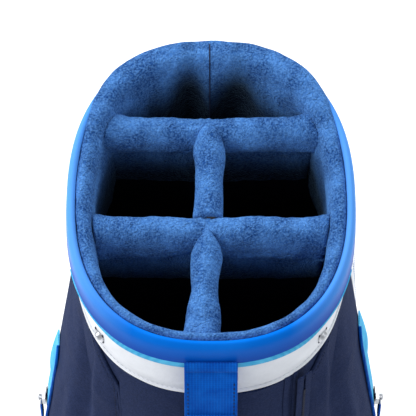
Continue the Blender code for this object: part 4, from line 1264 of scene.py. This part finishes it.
def make_pull(title, stand, body):
    """Pull: a wire loop through the slider's bridge and a moulded tab with a blue rim."""
    hinge = stand @ Matrix.Translation((0.0, TAPE_THICKNESS + TEETH_HEIGHT + BRIDGE_HEIGHT, -0.0027))
    loop = rounded(((-0.0027, 0.0, 0.0), (0.0027, 0.0, 0.0), (0.0030, 0.0, -0.0040), (0.0024, 0.0, -0.0098),
                    (-0.0024, 0.0, -0.0098), (-0.0030, 0.0, -0.0040)), 4)
    wire = tube(title + "_pull_loop", [hinge @ point for point in loop], 0.0007, closed=True, sides=8)
    dress(wire, "chrome", replaces=[title + "_zip_pull"], body=body)
    outline = rounded(((0.0026, -0.0080), (0.0042, -0.0100), (0.0050, -0.0160), (0.0050, -0.0330),
                       (0.0038, -0.0388), (0.0, -0.0400), (-0.0038, -0.0388), (-0.0050, -0.0330),
                       (-0.0050, -0.0160), (-0.0042, -0.0100), (-0.0026, -0.0080), (0.0, -0.0076)), 4)
    middle = Vector((0.0, -0.024))
    rings = []
    for y, shrink in ((-0.0013, 0.90), (-0.0009, 1.0), (0.0009, 1.0), (0.0013, 0.90), (0.0009, 0.74)):
        rings.append([hinge @ Vector((p.x * shrink, y, middle.y + (p.y - middle.y) * (0.5 + 0.5 * shrink)))
                      for p in outline])
    dress(loft(title + "_pull_tab", rings), "strap_webbing", body=body)
    rim_line = [hinge @ Vector((p.x * 0.98, 0.0, p.y)) for p in outline]
    dress(tube(title + "_pull_rim", rim_line, 0.0010, closed=True, sides=8), "webbing_blue", body=body)


def make_zippers():
    """The four zippers of the pockets."""
    for name, side in SIDES:
        x = side_face_x(SIDE_ZIP_TOP) + GUSSET_STAND + GUSSET_THICKNESS + 0.0003
        stand = zip_frame((side * x, SIDE_ZIP_Y, SIDE_ZIP_TOP), (side, 0.0, 0.0), (0.0, 0.0, 1.0))
        make_zip("side_" + name, stand, 0.130 - SIDE_ZIP_TOP, 0.010, 0.010, "black_nylon")
        make_pull("side_" + name, stand, f"side_{name}_pull")
    normal = outward(FRONT_ZIP_ANGLE)
    x, y = oval(FRONT_ZIP_ANGLE, PANEL_INSET)
    foot = Vector((x, y, FRONT_ZIP_Z)) + normal * 0.0062
    stand = zip_frame(foot, normal, (0.0, 0.0, 1.0))
    make_zip("front", stand, -0.012, 0.290, 0.316, "navy")
    make_pull("front", stand, "front_pull")
    face = (0.050, BALL_POCKET_FACE - 0.0003, BALL_ZIP_Z)
    stand = zip_frame(face, (0.0, -1.0, 0.0), (1.0, 0.0, 0.0))
    make_zip("ball", stand, -0.108, 0.010, 0.010, "black_nylon")
    make_pull("ball", stand, "ball_pull")
    make_placket()


def make_placket():
    """Folded welts that run beside the front zip, up to the yoke."""
    for label, degrees, width, lift, top in (
        ("inner", 62.0, 0.0062, 0.0016, 0.7435), ("outer", 58.0, 0.0044, 0.0022, 0.7455),
    ):
        share = (math.radians(degrees) - FRONT_POCKET_EDGE) / (math.pi - 2 * FRONT_POCKET_EDGE)
        rings = []
        for height in spread(top, 0.410, 60):
            middle = front_point(share, height, top)
            out = outward(-math.radians(degrees))
            side = Vector((-out.y, out.x, 0.0))
            ring = []
            for across, rise in (
                (-0.5, -0.6), (0.5, -0.6), (0.5, 0.6), (0.32, 1.0), (-0.32, 1.0), (-0.5, 0.6),
            ):
                ring.append(middle + side * across * width + out * rise * lift)
            rings.append(ring)
        dress(loft("placket_welt_" + label, rings), "navy")


# ------------------------------------------------------------------ handles
STRIP_SECTION = (
    (-1.0, 0.0), (-0.985, 0.8), (-0.94, 1.0), (-0.90, 0.8), (0.90, 0.8), (0.94, 1.0),
    (0.985, 0.8), (1.0, 0.0), (0.985, -0.8), (0.94, -1.0), (-0.94, -1.0), (-0.985, -0.8),
)


def make_strip(name, path, half_width, thickness, replaces=()):
    """Flat blue webbing along (y, z) points, with rounded selvedges. Gives back its smooth line."""
    points = rounded(path, 6, False)
    rings = []
    for i, point in enumerate(points):
        along = along_path(points, i)
        out = Vector((along.y, -along.x)) * thickness / 2
        rings.append([(across * half_width, point.x + out.x * rise, point.y + out.y * rise)
                      for across, rise in STRIP_SECTION])
    dress(loft(name, rings), "webbing_blue", replaces=replaces)
    return points


def stitch_strip(name, points, half_gap, lift, outer, finish, first):
    """A row of stitches near each edge of a strip, from its point first on, on the side towards outer."""
    for k, x in enumerate((-half_gap, half_gap)):
        path, outs = [], []
        for i in range(first, len(points) - 1):
            along = along_path(points, i)
            out = Vector((0.0, along.y, -along.x))
            if out.y * outer < 0:
                out = -out
            path.append(Vector((x, points[i].x, points[i].y)) + out * lift)
            outs.append(out)
        stitches(f"{name}_{k}", path, outs, finish)


def make_handles():
    """Front lift handle with its tucked top and sewn grip, and the spine's handle."""
    front = (
        (-0.1470, 0.8090), (-0.1500, 0.8050), (-0.1513, 0.8010), (-0.1505, 0.7978), (-0.1482, 0.7960),
        (-0.1506, 0.7935), (-0.1552, 0.7850), (-0.1605, 0.7750), (-0.1685, 0.7460), (-0.1715, 0.7150),
        (-0.1695, 0.6850), (-0.1625, 0.6600), (-0.1566, 0.6430), (-0.1556, 0.6240),
    )
    line = make_strip("lift_handle", front, 0.024, 0.0024, ["front_handle"])
    stitch_strip("lift_handle_stitching", line, 0.0208, 0.0011, -1.0, "dark_thread", 36)
    grip = ((-0.1702, 0.7490), (-0.1722, 0.7440), (-0.1732, 0.7390), (-0.1750, 0.7150), (-0.1728, 0.6880),
            (-0.1706, 0.6830))
    line = make_strip("lift_handle_grip", grip, 0.0215, 0.0022)
    stitch_strip("lift_handle_grip_stitching", line, 0.0185, 0.0010, -1.0, "blue_thread", 2)
    rear = (
        (0.1518, 0.8050), (0.1520, 0.7900), (0.1640, 0.7700), (0.1765, 0.7350), (0.1790, 0.7050),
        (0.1765, 0.6750), (0.1640, 0.6400), (0.1520, 0.6200), (0.1518, 0.6050),
    )
    line = make_strip("spine_lift_handle", rear, 0.019, 0.0024, ["spine_handle"])
    stitch_strip("spine_handle_stitching", line, 0.0160, 0.0010, 1.0, "blue_thread", 1)


# ------------------------------------------------------------------ shoulder strap and rings
PAD_PATH = (
    (0.1300, 0.655), (0.1352, 0.620), (0.1392, 0.580), (0.1418, 0.540), (0.1432, 0.500),
    (0.1432, 0.460), (0.1416, 0.420), (0.1386, 0.380), (0.1340, 0.340),
)
PAD_WIDTHS = (
    (0.340, 0.0175), (0.352, 0.0215), (0.380, 0.0245), (0.420, 0.0265), (0.580, 0.0265), (0.620, 0.0245),
    (0.643, 0.0215), (0.655, 0.0175),
)


def strap_frames(path, steps):
    """Points along a strap in XZ, each with the direction out of the bag's side."""
    points = rounded(path, steps, False)
    made = []
    for i, point in enumerate(points):
        along = along_path(points, i)
        made.append((point, Vector((-along.y, along.x)) * (-1.0 if along.y > 0 else 1.0)))
    return made


def make_strap_pad():
    """White padded strap, blue bound edges and a sewn line inside each edge."""
    rings = []
    line = strap_frames(PAD_PATH, 6)
    for point, out in line:
        wide = flow(PAD_WIDTHS, point.y) - 0.0012
        ring = []
        for turn in spread(0.0, 2 * math.pi * 23 / 24, 24):
            across = wide * signed_power(math.cos(turn), 0.55)
            rise = 0.0052 * signed_power(math.sin(turn), 0.75)
            ring.append((point.x + out.x * rise, STRAP_Y + across, point.y + out.y * rise))
        rings.append(ring)
    pad = loft("strap_pad", rings)

    def pinned(point):
        wide = flow(PAD_WIDTHS, point.z)
        return 1.0 if abs(point.y - STRAP_Y) > wide - 0.006 or not 0.352 < point.z < 0.643 else 0.0

    swell(pad, 4.0, 0.0018, pinned)

    def detail(point):
        wide = flow(PAD_WIDTHS, point.z)
        seam = 0.0010 * bump(abs(point.y - STRAP_Y), wide - 0.0062, 0.0012)
        middle = flow([(z, x) for x, z in PAD_PATH[::-1]], point.z)
        side = 1.0 if point.x > middle else -1.0
        return Vector((side * (0.0005 * wobble(point, 0.020, 3.0) - seam), 0.0, 0.0))

    shift(pad, detail)
    dress(pad, "white", replaces=["shoulder_strap"], body="strap")
    for name, side in (("front", -1.0), ("rear", 1.0)):
        bound, sewn, outs = [], [], []
        for point, out in line:
            wide = flow(PAD_WIDTHS, point.y)
            bound.append((point.x, STRAP_Y + side * (wide - 0.0014), point.y))
            sewn.append((point.x + out.x * 0.0058, STRAP_Y + side * (wide - 0.0062), point.y))
            outs.append((1.0, 0.0, 0.0))
        dress(tube("strap_edge_" + name, bound, 0.0022), "cyan", body="strap")
        stitches("strap_stitching_" + name, sewn[3:-3], outs[3:-3], "blue_thread", "strap")


WEBBING_SECTION = (
    (-1.0, 0.0), (-0.96, 0.85), (-0.88, 1.0), (0.88, 1.0), (0.96, 0.85),
    (1.0, 0.0), (0.96, -0.85), (0.88, -1.0), (-0.88, -1.0), (-0.96, -0.85),
)


def make_strap_webbing():
    """Navy webbing from each end of the pad to its swivel eye."""
    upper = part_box("strap_webbing_upper")
    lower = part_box("strap_webbing_lower")
    runs = (
        ("upper", ((STRAP_X, upper[1].z - 0.0010), (0.1262, 0.6740), (0.1299, 0.6560))),
        ("lower", ((0.1339, 0.3394), (0.1312, 0.3150), (0.1214, 0.2260), (STRAP_X, lower[0].z + 0.0010))),
    )
    for name, path in runs:
        rings = []
        for point, out in strap_frames(path, 10):
            ring = []
            for across, rise in WEBBING_SECTION:
                offset = out * rise * 0.0014
                ring.append((point.x + offset.x, STRAP_Y + across * 0.0125, point.y + offset.y))
            rings.append(ring)
        webbing = loft("webbing_" + name, rings)
        dress(webbing, "strap_webbing", ["strap_webbing_" + name], "strap")


def make_ring(name, side, height, node, body):
    """Round-wire D-ring in its tab."""
    half = 0.0130
    points = [(side * STRAP_X, STRAP_Y + y, height) for y in spread(-half, half, 12)]
    down = 1.0 if node == "strap_ring_lower" else -1.0
    for turn in spread(0.0, math.pi, 25):
        reach = down * (0.004 + half * math.sin(turn))
        points.append((side * STRAP_X, STRAP_Y + half * math.cos(turn), height + reach))
    dress(tube(name, points, WIRE, closed=True, sides=16), "chrome", replaces=[node], body=body)


def make_hook(label, down, height, node, eye):
    """Snap hook with its gate knob, its swivel barrel and the eye beyond it. down is the way it points."""
    near = height + down * (0.017 - WIRE - 0.0021 - 0.0006)
    half, length = 0.0062, 0.022
    points = []
    for turn in spread(0.0, 2 * math.pi * 35 / 36, 36):
        end = near + down * half if math.sin(turn) > 0 else near + down * (length - half)
        points.append((STRAP_X + half * math.cos(turn), STRAP_Y, end - down * half * math.sin(turn)))
    hook = tube(f"snap_hook_{label}", points, 0.0021, closed=True, sides=14)
    dress(hook, "chrome", replaces=[node])
    start = near + down * (length - 0.0012)
    barrel = lathe(f"snap_hook_barrel_{label}", (
        (0.0026, 0.0), (0.0038, 0.0008), (0.0042, 0.0018), (0.0036, 0.0026), (0.0036, 0.0070),
        (0.0042, 0.0078), (0.0042, 0.0092), (0.0034, 0.0100),
    ), (STRAP_X, STRAP_Y, start), (0.0, 0.0, down))
    dress(barrel, "chrome")
    knob = lathe(f"snap_hook_knob_{label}", (
        (0.0010, 0.0), (0.0017, 0.0004), (0.0018, 0.0018), (0.0012, 0.0024),
    ), (STRAP_X + half + 0.0016, STRAP_Y, near + down * 0.010), (1.0, 0.0, 0.0), 16)
    dress(knob, "chrome")
    low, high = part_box(eye)
    foot = low.z if down < 0 else high.z
    bar = foot - down * WIRE
    top = bar - down * 0.0105
    half_width = 0.0150
    loop = rounded(((STRAP_Y - half_width, top), (STRAP_Y, top), (STRAP_Y + half_width, top),
                    (STRAP_Y + half_width, bar), (STRAP_Y, bar), (STRAP_Y - half_width, bar)), 8)
    inner = []
    for point in loop:
        across = min(max(point.x, STRAP_Y - half_width), STRAP_Y + half_width)
        rise = min(max(point.y, min(top, bar)), max(top, bar))
        inner.append((STRAP_X, across, rise))
    swivel = tube(f"swivel_eye_{label}", inner, WIRE, closed=True, sides=14)
    dress(swivel, "chrome", replaces=[eye], body="strap")
    neck = lathe(f"swivel_neck_{label}", (
        (0.0032, 0.0), (0.0032, 0.0030), (0.0026, 0.0040), (0.0030, 0.0056),
    ), (STRAP_X, STRAP_Y, start + down * 0.0103), (0.0, 0.0, down), 20)
    dress(neck, "chrome", body="strap")


def make_strap():
    """The shoulder strap with its hardware, and the towel ring."""
    make_strap_pad()
    make_strap_webbing()
    make_ring("d_ring_upper", 1.0, 0.770, "strap_ring_upper", "bag")
    make_ring("d_ring_lower", 1.0, 0.150, "strap_ring_lower", "bag")
    make_ring("towel_d_ring", -1.0, 0.700, "towel_ring", "towel_ring")
    make_hook("upper", -1.0, 0.770, "strap_hook_upper", "strap_eye_upper")
    make_hook("lower", 1.0, 0.150, "strap_hook_lower", "strap_eye_lower")


# ------------------------------------------------------------------ base and carried-over pieces
def make_base():
    """Moulded base cup with a rolled lip and grip ribs, over its tread."""
    outer = WRAP_INSET - 0.0003 - 0.0030
    inner = WRAP_INSET - 0.0003

    def section(angle):
        rib = 0.0007 * (0.5 + 0.5 * math.cos(48 * angle))
        points = [(outer + 0.0040, 0.0033), (outer + 0.0012, 0.0046), (outer, 0.0075)]
        for z in spread(0.012, 0.040, 8):
            points.append((outer + rib * smooth((z - 0.010) / 0.004) * smooth((0.043 - z) / 0.004), z))
        points += [(outer, 0.0455), (outer - 0.0006, 0.0480), (outer - 0.0006, 0.0530), (outer, 0.0548)]
        points += [(inner, 0.0548), (inner, 0.0300), (inner, FLOOR_Z - 0.0003)]
        return [Vector((*oval(angle, inset), z)) for inset, z in points]

    rings = [section(2 * math.pi * i / 384) for i in range(384)]
    bm = bmesh.new()
    rows = [[bm.verts.new(point) for point in ring] for ring in rings]
    count = len(rows[0])
    for low, high in zip(rows, rows[1:] + rows[:1]):
        for i in range(count - 1):
            bm.faces.new((low[i], low[i + 1], high[i + 1], high[i]))
    bm.faces.new([row[-1] for row in rows])
    bm.faces.new([row[0] for row in rows][::-1])
    dress(new_object("base_moulding", bm), "black_plastic", replaces=["base_cup"])


CARRIED = {
    "rubber": ("base_sole",),
    "foam": ("base_pad",),
    "black_plastic": ("top_frame", "strap_adjuster"),
    "fibreglass": ("stay_left", "stay_right", "stay_rear"),
    "black_nylon": (
        "divider_sheet_rear", "divider_sheet_front",
        "divider_sheet_centre_rear", "divider_sheet_centre_front",
    ),
    "navy": ("strap_tab_upper", "strap_tab_lower", "towel_tab"),
    "chrome": ("side_left_zip_slider", "side_right_zip_slider", "front_zip_slider", "ball_zip_slider"),
}


def dress_carried():
    """Give every CAD node that stays its finish."""
    for finish, nodes in CARRIED.items():
        for node in nodes:
            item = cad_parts[node]
            for i in range(len(item.material_slots)):
                item.material_slots[i].material = FINISHES[finish]


def main():
    """Build the whole scene."""
    make_camera()
    make_studio()
    make_top()
    make_yoke()
    make_snaps()
    make_body()
    for name, side in SIDES:
        make_side_pocket(name, side)
        make_gusset(name, side)
    make_front_pocket()
    make_ball_pocket()
    make_spine()
    make_zippers()
    make_handles()
    make_strap()
    make_base()
    dress_carried()


main()
